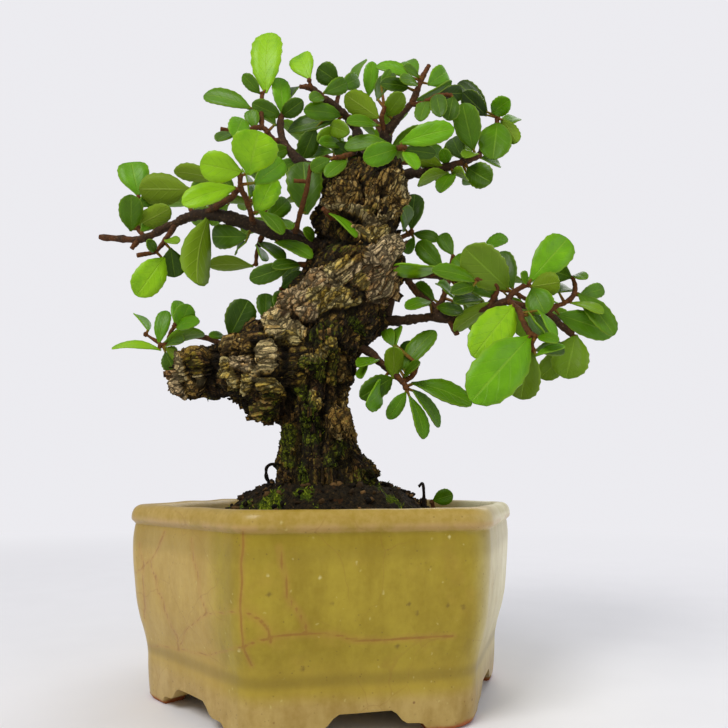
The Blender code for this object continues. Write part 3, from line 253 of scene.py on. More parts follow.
# The pot's outline, from under its middle out to the rim and back in to its floor: (radius, height)
FOOT_RING = ((0.0, 4.8), (16.0, 4.8), (30.0, 4.8), (33.2, 4.8), (33.5, 4.5), (33.9, 0.6), (34.4, 0.0),
             (38.9, 0.0))
WALL = ((39.5, 0.25), (39.9, 0.8), (40.3, 3.0), (40.6, 6.0), (40.75, 9.5), (41.3, 12.2), (42.0, 14.4),
        (42.9, 16.9), (43.8, 20.5), (44.4, 25.0), (44.9, 29.5), (45.15, 33.5), (45.0, 36.2))
RIM = ((44.9, 36.7), (45.25, 37.1), (45.8, 37.6), (45.9, 38.4), (45.75, 39.3), (45.3, 40.2), (44.5, 40.8),
       (43.6, 41.0), (42.6, 40.9), (41.9, 40.5), (41.3, 39.6))
INSIDE = ((40.8, 37.0), (39.8, 28.0), (38.6, 18.0), (37.2, 13.0), (36.0, 10.4), (33.6, 9.1), (20.0, 9.0),
          (0.0, 9.0))
WALL_STEP = 0.7
# The arch between two feet, from its middle to one side: (aside, height)
FOOT_ARCH = ((0.0, 4.6), (4.9, 4.6), (6.0, 3.9), (7.0, 2.7), (8.0, 2.1), (10.0, 2.0), (11.0, 1.8),
             (11.8, 0.9), (12.4, -1.0))
ARCH_REACH = 60.0
DRAIN_RADIUS = 3.5
DRAIN_OFFSET = 13.0
DRAIN_MIDDLE = 4.0
DRAIN_LENGTH = 20.0
GLAZE_WAVE = 0.22
# Cracks in the glaze, dark and pale specks, as they show from the front: points in mm
CRACKLE = (
    ((-33.5, 32.4), (-32.4, 27.5), (-30.9, 20.6), (-29.2, 15.5)),
    ((-21.2, 34.2), (-21.1, 29.3), (-21.4, 20.6), (-21.2, 15.0), (-20.5, 8.3), (-18.1, 3.9)),
    ((-34.8, 8.3), (-34.3, 11.1), (-31.2, 13.9), (-28.9, 15.3), (-23.6, 15.5), (-20.1, 15.5), (-16.5, 13.9),
     (-14.1, 11.6), (-14.0, 8.8)),
    ((-16.4, 9.4), (-12.9, 10.0), (-8.2, 10.5), (-3.5, 10.6), (1.2, 10.5), (4.7, 9.5), (12.3, 9.4),
     (20.0, 10.0), (29.3, 10.4)),
    ((-12.4, 30.4), (-11.1, 25.2), (-10.1, 19.5), (-8.3, 16.7), (-6.5, 14.1), (-5.5, 11.1)),
    ((-39.9, 34.3), (-40.9, 30.4), (-43.1, 27.3), (-46.5, 24.3)),
    ((-43.1, 27.5), (-41.0, 21.2), (-39.0, 16.1), (-36.7, 11.6), (-35.0, 7.2)),
    ((-46.0, 31.6), (-44.8, 26.4), (-44.2, 20.6), (-43.6, 13.9)),
    ((-42.7, 8.3), (-35.6, 7.4), (-28.5, 6.1), (-23.3, 7.2), (-18.1, 8.8)),
)
DARK_SPECKS = ((0.3, 17.7), (18.6, 17.5), (15.8, 8.0), (20.3, 15.5), (-14.6, 19.8), (-6.3, 2.8),
               (27.7, 17.2), (31.3, 16.7))
PALE_SPECKS = ((-11.9, 36.3), (-2.5, 23.5), (6.2, 26.8), (12.4, 20.3), (28.4, 32.9), (-21.3, 7.2),
               (-15.0, 24.1))
CRACK_WANDER = 0.5
LEAST_FACING = 0.12
OUT_OF_SIGHT = 9.0


def on_hexagon(radius, turns):
    """A point that many turns round a hexagon with rounded corners; radius is that of a corner."""
    rounding = min(CORNER_ROUNDING, radius * 0.4)
    centre = radius - rounding
    corner = math.floor(turns * 6 + 0.5)
    off = turns * 6 - corner
    middle = math.radians(POT_TURN + 60 * corner)
    side = math.copysign(1.0, off)
    bend = math.radians(30 * min(abs(off) / CORNER_SHARE, 1) * side)
    spot = Vector((math.cos(middle) * centre + math.cos(middle + bend) * rounding,
                   math.sin(middle) * centre + math.sin(middle + bend) * rounding, 0))
    if abs(off) > CORNER_SHARE:
        turn = middle + side * math.radians(30)
        along = Vector((-math.sin(turn), math.cos(turn), 0))
        spot += along * side * centre / 2 * (abs(off) - CORNER_SHARE) / (0.5 - CORNER_SHARE)
    return spot


def wrapped(profile, columns, shape):
    """A grid wrapped round the pot's axis, one row to each (radius, height), its seam and poles closed."""
    bm = bmesh.new()
    bmesh.ops.create_grid(bm, x_segments=columns, y_segments=len(profile) - 1, size=1.0)
    for v in bm.verts:
        radius, height = profile[round((v.co.y + 1) / 2 * (len(profile) - 1))]
        flat = on_hexagon(radius, round((v.co.x + 1) / 2 * columns) / columns % 1)
        v.co = shape(flat.x, flat.y, height) * MM
    bmesh.ops.remove_doubles(bm, verts=bm.verts, dist=0.001 * MM)
    bmesh.ops.recalc_face_normals(bm, faces=bm.faces)
    return bm


def drawn_out(profile):
    """The profile as one smooth line, its points no farther apart than a step."""
    spots = [Vector(spot) for spot in profile]
    fuller = [tuple(spots[0])]
    for i in range(len(spots) - 1):
        before, a, b, after = (spots[min(max(i + k, 0), len(spots) - 1)] for k in (-1, 0, 1, 2))
        count = max(2, math.ceil((b - a).length / WALL_STEP) + 1)
        curve = interpolate_bezier(a, a + (b - before) / 6, b - (after - a) / 6, b, count)
        fuller += [tuple(spot) for spot in curve[1:]]
    return tuple(fuller)


def front_readings(places):
    """Where each place, in mm from the pot's axis, shows on the upright plane through the axis."""
    scale = EYE_DISTANCE / (EYE_DISTANCE + places[:, 1])
    return EYE.x + (places[:, 0] - EYE.x) * scale, EYE.z + (places[:, 2] - EYE.z) * scale


def line_gaps(x, z, points):
    """How far each reading is from a line through points."""
    best = np.full(len(x), 1e9)
    for (x0, z0), (x1, z1) in zip(points, points[1:]):
        run, rise = x1 - x0, z1 - z0
        share = np.clip(((x - x0) * run + (z - z0) * rise) / (run * run + rise * rise), 0, 1)
        best = np.minimum(best, np.hypot(x - x0 - run * share, z - z0 - rise * share))
    return best


def opened(mesh):
    """A mesh to work on, with its normals."""
    bm = bmesh.new()
    bm.from_mesh(mesh)
    bm.normal_update()
    return bm


def places_and_normals(bm):
    """Where each corner is, in mm, and which way it faces."""
    return np.array([v.co[:] for v in bm.verts]) / MM, np.array([v.normal[:] for v in bm.verts])


def write_marks(bm, marks):
    """Named numbers, one to each corner, for the shaders to read."""
    for name, values in marks.items():
        layer = bm.verts.layers.float.new(name)
        for v, value in zip(bm.verts, values):
            v[layer] = value


def bare_object(bm, name):
    mesh = bpy.data.meshes.new(name)
    bm.to_mesh(mesh)
    bm.free()
    made = bpy.data.objects.new(name, mesh)
    bpy.context.scene.collection.objects.link(made)
    return made


def settled(item):
    """The object's mesh as its modifiers leave it, in place of its own."""
    graph = bpy.context.evaluated_depsgraph_get()
    graph.update()
    mesh = bpy.data.meshes.new_from_object(item.evaluated_get(graph))
    item.modifiers.clear()
    item.data = mesh


def cut_by(item, cutters):
    for cutter in cutters:
        change = item.modifiers.new("cut", "BOOLEAN")
        change.operation = "DIFFERENCE"
        change.solver = "EXACT"
        change.object = cutter
    settled(item)
    for cutter in cutters:
        bpy.data.objects.remove(cutter)


def stand(item, finishes, nodes=(), angle=None):
    """Moves a finished piece's mesh to the pot's place, dresses it, and lets it stand for its nodes."""
    item.data.transform(Matrix.Translation(AXIS))
    item.data.materials.clear()
    for one in finishes:
        item.data.materials.append(one)
    item.data.shade_smooth()
    if angle is not None:
        item.data.set_sharp_from_angle(angle=math.radians(angle))
    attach(item, "root")
    if nodes:
        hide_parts(*nodes)
    return item


profile = FOOT_RING + drawn_out(WALL + RIM) + INSIDE
pot = bare_object(wrapped(profile, POT_COLUMNS, lambda x, y, z: Vector((x, y, z))), "glazed_pot")
cutters = []
for side in range(3):
    turn = math.radians(POT_TURN + 30 + 60 * side)
    along = Vector((-math.sin(turn), math.cos(turn), 0))
    out = Vector((math.cos(turn), math.sin(turn), 0))
    bm = bmesh.new()
    outline = [(-t, z) for t, z in reversed(FOOT_ARCH)] + list(FOOT_ARCH[1:])
    corners = [bm.verts.new((along * t + Vector((0, 0, z)) - out * ARCH_REACH) * MM) for t, z in outline]
    arch = bm.faces.new(corners)
    grown = bmesh.ops.extrude_face_region(bm, geom=[arch])
    moved = [v for v in grown["geom"] if isinstance(v, bmesh.types.BMVert)]
    bmesh.ops.translate(bm, verts=moved, vec=out * 2 * ARCH_REACH * MM)
    bmesh.ops.recalc_face_normals(bm, faces=bm.faces)
    cutters.append(bare_object(bm, "arch cutter"))
for side in (-1, 1):
    bm = bmesh.new()
    bmesh.ops.create_cone(bm, cap_ends=True, segments=32, radius1=DRAIN_RADIUS * MM,
                          radius2=DRAIN_RADIUS * MM, depth=DRAIN_LENGTH * MM)
    bmesh.ops.translate(bm, verts=bm.verts, vec=Vector((side * DRAIN_OFFSET, 0, DRAIN_MIDDLE)) * MM)
    cutters.append(bare_object(bm, "drain cutter"))
cut_by(pot, cutters)

bm = opened(pot.data)
places, normals = places_and_normals(bm)
x, z = front_readings(places)
x += np.array([CRACK_WANDER * noise.noise(Vector(place) * 0.3) for place in places])
z += np.array([CRACK_WANDER * noise.noise(Vector(place) * 0.3 + Vector((0, 0, 9))) for place in places])
# A crack keeps its width where the wall turns away, and none is drawn where the front can't see
sight = np.array(EYE) - places
facing = np.sum(sight * normals, axis=1) / np.linalg.norm(sight, axis=1)
behind = np.where(facing < LEAST_FACING, OUT_OF_SIGHT, 0.0)
crackle = np.min([line_gaps(x, z, points) for points in CRACKLE], axis=0)
write_marks(bm, {
    "crackle": crackle / np.maximum(facing, LEAST_FACING) + behind,
    "dark speck": np.min([np.hypot(x - a, z - b) for a, b in DARK_SPECKS], axis=0) + behind,
    "pale speck": np.min([np.hypot(x - a, z - b) for a, b in PALE_SPECKS], axis=0) + behind,
})
# The glaze lies a little uneven everywhere but on the surface that the feet stand on
for v in bm.verts:
    if v.co.z > 1.0 * MM:
        v.co += v.normal * GLAZE_WAVE * MM * noise.noise(v.co / MM * 0.09)
bm.to_mesh(pot.data)
bm.free()


def glaze_paint(flow, place):
    x, y, z = (place.part(axis) for axis in range(3))
    drift = place.clouds(0.035, 3.0)
    runs = place.times(1, 1, 0.4).clouds(0.16, 4.0, 0.6)
    mottle = place.clouds(0.75, 3.0, 0.65)
    blend = runs * 0.75 + mottle * 0.25
    thin = blend.rising(0.3, 0.7)
    ochre = thin.mix(tint(146, 123, 14), tint(172, 151, 38))
    tan = thin.mix(tint(170, 138, 54), tint(190, 160, 80))
    cream_and_highlight = thin.mix(tint(216, 204, 152), tint(236, 228, 192))
    colour = (x + (drift - 0.5) * 6 + (z - 20) * 0.12).rising(-20.5, -26.5).mix(ochre, tan)
    # Cream on the right corner and on the rim's right end: partly the glaze's colour, partly painted
    # highlight
    colour = (x - y * 0.1 + (drift - 0.5) * 5).rising(27.5, 36.5).mix(colour, cream_and_highlight)
    colour = (place.clouds(0.11, 4.0, 0.6).rising(0.52, 0.74) * 0.4).over(colour, 176, 144, 50)
    low = (z + (drift - 0.5) * 5).rising(16, 9)
    colour = (low * 0.4).over(colour, 172, 144, 52)
    # A darker band just under the rim is painted shadow cast by the rim
    groove = z.rising(30.5, 33.5) * z.rising(37.2, 36.4)
    colour = (groove * 0.3).over(colour, 122, 102, 6)
    rim = (z + (runs - 0.5) * 1.2).rising(36.4, 37.2)
    gold = (blend * 0.6 + mottle * 0.4).rising(0.25, 0.75).mix(tint(158, 130, 40), tint(184, 154, 84))
    colour = (rim * 0.85).mix(colour, (x + drift * 4).rising(26, 36).mix(gold, cream_and_highlight))
    lip = z.rising(36.6, 37.3) * z.rising(38.8, 37.8) * runs.rising(0.35, 0.55)
    colour = (lip * 0.6).over(colour, 184, 148, 92)
    # A darker band where the foot ring begins is painted shadow along the ledge
    uneven = z + (drift - 0.5) * 1.5
    ledge_shadow = uneven.rising(8.6, 10.2) * uneven.rising(12.4, 10.6)
    colour = (ledge_shadow * 0.35).over(colour, 104, 84, 14)
    foot = (z + (drift - 0.5) * 4).rising(8.8, 5.4)
    colour = (foot * 0.7).mix(colour, thin.mix(tint(152, 120, 56), tint(192, 164, 104)))
    pores = place.cells(0.9).rising(0.2, 0.06) * place.clouds(0.4, 1.0).rising(0.48, 0.62)
    colour = (pores * 0.5).over(colour, 108, 84, 30)
    dots = place.cells(0.55).rising(0.2, 0.08) * place.clouds(0.3, 1.0).rising(0.5, 0.6) * foot
    colour = (dots * 0.7).over(colour, 110, 62, 26)
    flecks = place.plus(place.clouds(1.0, 1.0, 0.5, 1), 1.0).cells(0.34).rising(0.12, 0.03)
    colour = (flecks * 0.35).over(colour, 208, 194, 120)
    colour = (flow.mark("pale speck").rising(0.75, 0.2) * 0.6).over(colour, 224, 214, 150)
    colour = (flow.mark("dark speck").rising(0.95, 0.2) * 0.6).over(colour, 96, 70, 20)
    crackle = flow.mark("crackle") + (mottle - 0.5) * 0.3
    colour = (crackle.rising(1.6, 0.2) * 0.3).over(colour, 178, 128, 60)
    line = crackle.rising(0.56, 0.14) * (runs * 0.6 + 0.35)
    colour = (line * 0.8).over(colour, 140, 88, 26)
    bent = place.plus(place.clouds(0.06, 3.0, 0.5, 1), 10.0)
    hair = bent.cells(0.07, "DISTANCE_TO_EDGE").rising(0.01, 0.002)
    colour = (hair * place.clouds(0.05, 2.0).rising(0.46, 0.6) * 0.25).over(colour, 140, 98, 34)
    clay = (z + (runs - 0.5) * 1.6).rising(1.3, 0.4)
    clay = flow.maths("MAXIMUM", clay, x.rising(33.5, 36.5) * (z + (mottle - 0.5) * 3).rising(4.2, 2.2))
    colour = clay.mix(colour, mottle.mix(tint(128, 60, 28), tint(184, 106, 56)))
    height = place.clouds(0.5, 3.0) * 0.6 + runs * 0.3 - line * 0.3 - pores * 0.2
    return {"Base Color": colour, "Roughness": clay * 0.4 + runs * 0.12 + 0.34,
            "Coat Weight": (1 - clay) * 0.14, "Normal": flow.bump(height, 0.12)}


glaze_finish = finish("crackled glaze", glaze_paint, Coat_Roughness=0.12, Specular_IOR_Level=0.3)
stand(pot, [glaze_finish], ["pot"], 40)


# Soil: dark, open, wet grit that fills the pot to just under the rim and rises in a low mound round the
# trunk. Moss has spread over it in patches, thickest round the back and in one cushion at the front,
# and crumbs of bark and grit lie loose on it.
SOIL_EDGE = 37.2
MOUND_RISE = 7.7
MOUND_MIDDLE_X = -0.8
MOUND_TOP_RADIUS = 14.0
MOUND_FOOT_RADIUS = 29.0
SOIL_RADIUS = 41.15
SOIL_STEPS = 84
SOIL_RINGS = [(SOIL_RADIUS * (step / SOIL_STEPS), 0.0) for step in range(SOIL_STEPS + 1)]
SOIL_RINGS += [(41.0, -2.0), (40.4, -6.0)]
SOIL_COLUMNS = 240
MOSS_SPIKES = 4200
LOOSE_CRUMBS = 900
CRUMBS_TO_A_HEAP = 46


def soil_height(x, y):
    """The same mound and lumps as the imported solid's."""
    spread = math.hypot(x - MOUND_MIDDLE_X, y / 0.85)
    share = min(max((MOUND_FOOT_RADIUS - spread) / (MOUND_FOOT_RADIUS - MOUND_TOP_RADIUS), 0), 1)
    mound = MOUND_RISE * share * share * (3 - 2 * share)
    lumps = 0.9 * noise.noise(Vector((x * 0.21, y * 0.21, 3.0))) * min(1.0, 0.3 + share)
    return SOIL_EDGE + mound + lumps


def crumbly(x, y):
    """Grit and hollows on the mound, lower towards the pot's wall."""
    spot = Vector((x, y, 0))
    calm = min(1.0, max(0.2, (41 - math.hypot(x, y)) / 8))
    crumb = 0.8 * noise.noise(spot * 0.55 + Vector((5, 0, 0))) + 0.7 * noise.noise(spot * 1.3)
    return (crumb + 0.45 * noise.noise(spot * 2.7)) * calm


def mossy(x, y):
    """How thick the moss lies, 0 to 1: in patches, thicker round the back, and less at the pot's wall."""
    patch = noise.noise(Vector((x * 0.12, y * 0.12, 9.0))) * 1.3
    patch += noise.noise(Vector((x * 0.4, y * 0.4, 2.0))) * 0.6
    cushion = max(0.0, 1 - math.hypot(x + 5.5, y + 15) / 4.5)
    back = min(max(y / 30, -0.22), 0.35)
    return min(1.0, max(0.0, patch + 0.2 + back + cushion - max(0.0, math.hypot(x, y) - 31) * 0.04))


def soil_place(x, y, drop):
    return Vector((x, y, soil_height(x, y) + crumbly(x, y) + drop))


bm = wrapped(SOIL_RINGS, SOIL_COLUMNS, soil_place)
moss_layer = bm.verts.layers.float.new("moss")
for v in bm.verts:
    v[moss_layer] = mossy(v.co.x / MM, v.co.y / MM)
ground = bare_object(bm, "soil_mound")


def soil_paint(flow, place):
    moss = flow.mark("moss")
    grit = place.clouds(1.3, 4.0, 0.7)
    earth = grit.rising(0.3, 0.75).mix(tint(11, 9, 5), tint(56, 44, 24))
    earth = (place.clouds(0.45, 2.0).rising(0.62, 0.72) * 0.4).over(earth, 88, 50, 14)
    earth = (place.cells(0.7).rising(0.2, 0.08) * 0.4).over(earth, 112, 86, 48)
    green = place.clouds(0.7, 4.0, 0.75).rising(0.3, 0.7).mix(tint(16, 26, 2), tint(96, 112, 10))
    cover = (moss + (grit - 0.5) * 0.9).rising(0.35, 0.62)
    return {"Base Color": cover.mix(earth, green), "Roughness": grit * 0.2 + 0.75,
            "Normal": flow.bump(grit + place.clouds(3.5, 2.0) * 0.5, 0.7)}


stand(ground, [finish("mossy earth", soil_paint, Specular_IOR_Level=0.15)], ["soil"])


def moss_paint(flow, place):
    patch = place.clouds(0.3, 3.0)
    green = flow.mark("shade").mix(tint(30, 42, 2), tint(132, 144, 22))
    return {"Base Color": (patch.rising(0.45, 0.7) * 0.6).over(green, 66, 96, 6),
            "Roughness": patch * 0.2 + 0.7}


def anywhere(draw, reach):
    """Any place (x, y) within reach of the pot's axis, each as likely as the next."""
    turn, radius = draw.uniform(0, math.tau), reach * math.sqrt(draw.random())
    return radius * math.cos(turn), radius * math.sin(turn)


def shaken(draw, by):
    return Vector([draw.uniform(-by, by) for _ in range(3)])


def mark_faces(made, layer, value):
    """One number on every face round the corners that an operator made."""
    for face in {face for v in made["verts"] for face in v.link_faces}:
        face[layer] = value


def blades_of_moss(name, spots, draw):
    """Moss: a short three-sided spike at each spot (place, normal, length in mm), a few turned aside."""
    bm = bmesh.new()
    shade = bm.faces.layers.float.new("shade")
    for spot, normal, length in spots:
        lean = (normal + shaken(draw, 0.7)).normalized()
        turned = Vector((0, 0, 1)).rotation_difference(lean).to_matrix().to_4x4()
        made = bmesh.ops.create_cone(bm, cap_ends=False, segments=3, radius1=length * 0.24 * MM, radius2=0,
                                     depth=length * MM,
                                     matrix=Matrix.Translation(spot + lean * length * 0.4 * MM) @ turned)
        mark_faces(made, shade, draw.random())
    stand(bare_object(bm, name), [moss_finish])


moss_finish = finish("moss", moss_paint, Specular_IOR_Level=0.2)
draw = random.Random(11)
spots = []
while len(spots) < MOSS_SPIKES:
    x, y = anywhere(draw, 40.0)
    if mossy(x, y) > draw.uniform(0.3, 0.9):
        spots.append((soil_place(x, y, 0) * MM, Vector((0, 0, 1)), draw.uniform(0.5, 1.1)))
blades_of_moss("soil_moss", spots, draw)

# Loose crumbs lie everywhere, and heaps of them stand beside the roots: (x, height, heap's half width)
HEAPS = ((10.2, 45.6, 2.6), (12.4, 44.2, 2.4), (15.4, 42.8, 1.6), (17.8, 43.2, 1.9), (20.2, 41.4, 1.4),
         (22.4, 41.6, 1.6), (-17.2, 44.0, 2.2), (-20.2, 42.8, 2.0), (-14.6, 45.4, 1.6), (4.0, 45.0, 2.2))
crumbs = []
for _ in range(LOOSE_CRUMBS):
    x, y = anywhere(draw, 39.0)
    size = draw.uniform(0.3, 0.9)
    crumbs.append((soil_place(x, y, size * 0.25), size))
for x, top, half in HEAPS:
    foot = soil_height(x, 0) - 0.8
    for _ in range(CRUMBS_TO_A_HEAP):
        rise = draw.random() ** 1.4
        spread = half * (1.1 - rise)
        aside, ahead = draw.gauss(0, 0.55) * spread, draw.gauss(0, 0.7) * spread
        crumbs.append((Vector((x + aside, ahead, foot + (top - foot) * rise)), draw.uniform(0.4, 1.0)))

bm = bmesh.new()
shade = bm.faces.layers.float.new("shade")
for spot, size in crumbs:
    turned = shaken(draw, 1).to_track_quat("Z", "Y")
    shape = Vector((size * draw.uniform(0.8, 1.7), size, size * draw.uniform(0.5, 0.9))) * MM
    made = bmesh.ops.create_icosphere(bm, subdivisions=1, radius=1.0,
                                      matrix=Matrix.LocRotScale(spot * MM, turned, shape))
    mark_faces(made, shade, draw.random() ** 4)
    for v in made["verts"]:
        v.co += shaken(draw, 0.3) * size * MM


def crumb_paint(flow, place):
    grain = place.clouds(2.0, 3.0)
    colour = flow.mark("shade").mix(tint(15, 10, 6), tint(118, 88, 50))
    colour = (grain.rising(0.5, 0.7) * 0.4).over(colour, 58, 46, 20)
    return {"Base Color": colour, "Roughness": grain * 0.2 + 0.75, "Normal": flow.bump(grain, 0.3)}


stand(bare_object(bm, "soil_crumbs"), [finish("crumbs", crumb_paint, Specular_IOR_Level=0.15)])


# Trunk: one old, short, very thick stem with a sawn limb on the left, grown into a leaning log and a
# twisted head. Dry bark stands in cracked plates of tan and grey; between them it is painted nearly black,
# partly as wet bark and partly as painted shade under the log and the head, and green with moss. It is
# the imported solid's skin, melted finer and then carved along its grain.
SKIN_VOXEL = 0.385
SKIN_EASE = 16
SKIN_LIFT = 0.3
BARK_CHIPS = 420
CHIP_THICKNESS = 0.3
# The run of the grain: (how deep its ridges, how deep its plates), then (x, depth, z, radius)
GRAIN = {
    "column": ((1.0, 0.45), ((-1, 0, 36, 11), (-2.5, 0, 44, 11), (-3.4, 0, 50, 9.7), (-3.2, 0, 56, 9.3),
                             (-4.2, 0, 63, 8.7), (-4.6, 0, 71, 9.2), (-3.5, 0, 79, 9.0))),
    "right root": ((0.8, 0.5), ((-1.6, 1, 58, 5.4), (1.6, 1, 52, 4.8), (5.4, 0, 47.6, 5), (11, 0, 42, 5))),
    "left root": ((0.8, 0.5), ((-8, 3, 56, 4.5), (-8.6, 4, 49, 5), (-9.4, 4, 42, 5))),
    "stub": ((0.5, 0.7), ((-9, 0, 73.6, 10), (-17, 0, 73.8, 11.8), (-22, 0, 74, 9.4), (-27, 0, 74, 7.0),
                          (-29.6, 0, 73.7, 6.4), (-32.5, 0, 72.8, 7.5), (-39.6, 0, 70.8, 6.6))),
    "log": ((0.6, 0.55), ((-18, 3, 82.0, 3.8), (-9.6, 3.5, 86.3, 6.0), (-3, 3, 92.4, 7.3), (4, 2, 98, 9.6),
                          (8, 0, 103, 11), (7, 0, 106.5, 10.5))),
    "under log": ((0.7, 0.6), ((-2, 0, 80, 8), (3, 0, 87, 9), (7, 0, 94, 9))),
    "head": ((0.85, 0.5), ((3.2, 0, 107, 9), (5.2, 0, 110, 9.2), (8.6, 0, 114, 11), (10.5, 0, 119.5, 11.3),
                           (12, 0, 127.5, 8))),
}
# Dry bark as it shows from the front: (kind, rise in mm, half width in mm, points)
DRY = (
    ("tan", 0.8, 2.5, ((-14.4, 85.0), (-11.4, 84.2), (-9.4, 83.8))),
    ("ochre", 0.8, 1.5, ((-11.6, 81.6), (-9.4, 81.8))), ("tan", 0.6, 1.2, ((-15.6, 86.8), (-13.2, 87.4))),
    ("tan", 1.0, 2.3, ((-17.0, 78.8), (-16.6, 75.2))), ("pale", 0.7, 1.5, ((-24.2, 75.4), (-21.4, 74.8))),
    ("ochre", 0.8, 0.9, ((-27.2, 76), (-27, 74.4), (-27.6, 72.8))),
    ("ochre", 0.7, 1.0, ((-25.4, 72.2), (-24.4, 70))), ("ochre", 0.7, 1.0, ((-21.2, 71.4), (-21.6, 69.0))),
    ("tan", 0.6, 0.6, ((-19.4, 73.2), (-19.4, 71.8))), ("ochre", 0.8, 1.4, ((-17.6, 70.0), (-14.0, 69.8))),
    ("olive", 0.5, 1.9, ((-15.8, 67.2), (-13.8, 67.6))),
    ("brown", 0.5, 1.0, ((-16, 65), (-18.4, 63.8), (-18.6, 62.4))),
    ("brown", 0.4, 1.3, ((-27.6, 79.6), (-24.0, 80.8), (-22.2, 80.0))),
    ("pink", 0.4, 1.2, ((-39.6, 71.6), (-38.8, 68.8), (-37.6, 66.8))),
    ("tan", 0.5, 0.5, ((-38.4, 76.8), (-38.0, 72.6), (-37.2, 71.4))),
    ("brown", 0.4, 0.9, ((-37.6, 77.8), (-34.6, 78.4), (-32.0, 78.4))),
    ("tan", 0.4, 0.8, ((-33.4, 72), (-32.6, 70.2))), ("olive", 0.3, 1.4, ((-35.6, 76.2), (-33.8, 74.4))),
    ("brown", 0.3, 1.2, ((-35.4, 69.4), (-33.0, 68.0))),
    ("ochre", 0.9, 1.0, ((-6.8, 75.8), (-3.6, 76.8), (-1.6, 79.4), (0.0, 80.6))),
    ("olive", 0.6, 0.9, ((0.6, 79.0), (0.6, 74.6), (0.0, 70.6))),
    ("olive", 0.6, 1.1, ((-3.0, 75.0), (-2.8, 72.4))), ("ochre", 0.5, 0.7, ((-5.2, 67.6), (-3.6, 64.2))),
    ("olive", 0.5, 0.6, ((-7.6, 72), (-7.9, 66))), ("brown", 0.8, 2.1, ((1.2, 61.4), (1.8, 58.8))),
    ("brown", 0.5, 1.0, ((3.6, 67.8), (3.6, 62.0), (4.6, 57.8))),
    ("brown", 0.4, 0.7, ((2.6, 75.6), (2.8, 71.4))), ("olive", 0.3, 1.6, ((-10.4, 58.6), (-10.2, 51.0))),
    ("pink", 0.5, 3.0, ((-11.4, 90.2), (-8.0, 91.6), (-4.6, 95.0))),
    ("pink", 0.4, 2.4, ((-6.4, 88.6), (-5.2, 91.6))),
    ("ochre", 0.5, 1.6, ((-4.6, 92.4), (-1.0, 93.8), (2.8, 93.2))),
    ("ochre", 0.5, 0.7, ((-3.0, 89.6), (0.6, 90.4), (3.8, 91.4))),
    ("ochre", 0.6, 0.6, ((4.0, 90.2), (6.6, 91.0))), ("pink", 0.4, 2.2, ((-4.4, 97.6), (-0.6, 97.4))),
    ("ochre", 0.4, 1.7, ((0.0, 99.4), (4.0, 101.6), (8.4, 103.2))),
    ("tan", 0.5, 1.6, ((1.2, 97.0), (5.2, 99.6))),
    ("pink", 0.5, 3.9, ((8.4, 98.4), (11.4, 102.0), (12.6, 96.4))),
    ("pale", 0.5, 3.0, ((12.2, 104.2), (15.0, 106.0))), ("pink", 0.4, 2.6, ((11.4, 93.8), (13.8, 93.0))),
    ("ochre", 0.4, 1.3, ((6.8, 97.4), (7.6, 96.0))), ("brown", 0.3, 2.0, ((4.6, 104.8), (7.0, 104.4))),
    ("ochre", 0.9, 0.8, ((6.2, 110.4), (10.0, 109.4), (13.4, 110.0))),
    ("brown", 0.6, 0.7, ((3.6, 112.2), (7.0, 111.0), (9.6, 110.6))),
    ("tan", 0.9, 0.9, ((-1.6, 117.2), (3.0, 117.4), (7.4, 115.8), (10.8, 112.6))),
    ("brown", 0.3, 2.4, ((0.4, 120.0), (5.4, 120.8))),
    ("tan", 0.5, 0.9, ((12.0, 112.8), (16.0, 115.4), (18.6, 118.4))),
    ("brown", 0.3, 2.9, ((15.2, 124.4), (16.6, 118.0))), ("tan", 0.4, 0.9, ((19.0, 124.6), (18.8, 120.0))),
    ("brown", 0.2, 2.0, ((2.4, 123.8), (4.6, 124.8))), ("brown", 0.2, 2.0, ((10.2, 117.0), (10.8, 122.6))),
)
# How light each kind of bark is, and how yellow
KINDS = {"pale": (0.95, 0.15), "pink": (0.72, 0.1), "tan": (0.84, 0.55), "ochre": (0.68, 1.0),
         "brown": (0.5, 0.5), "olive": (0.42, 1.0)}
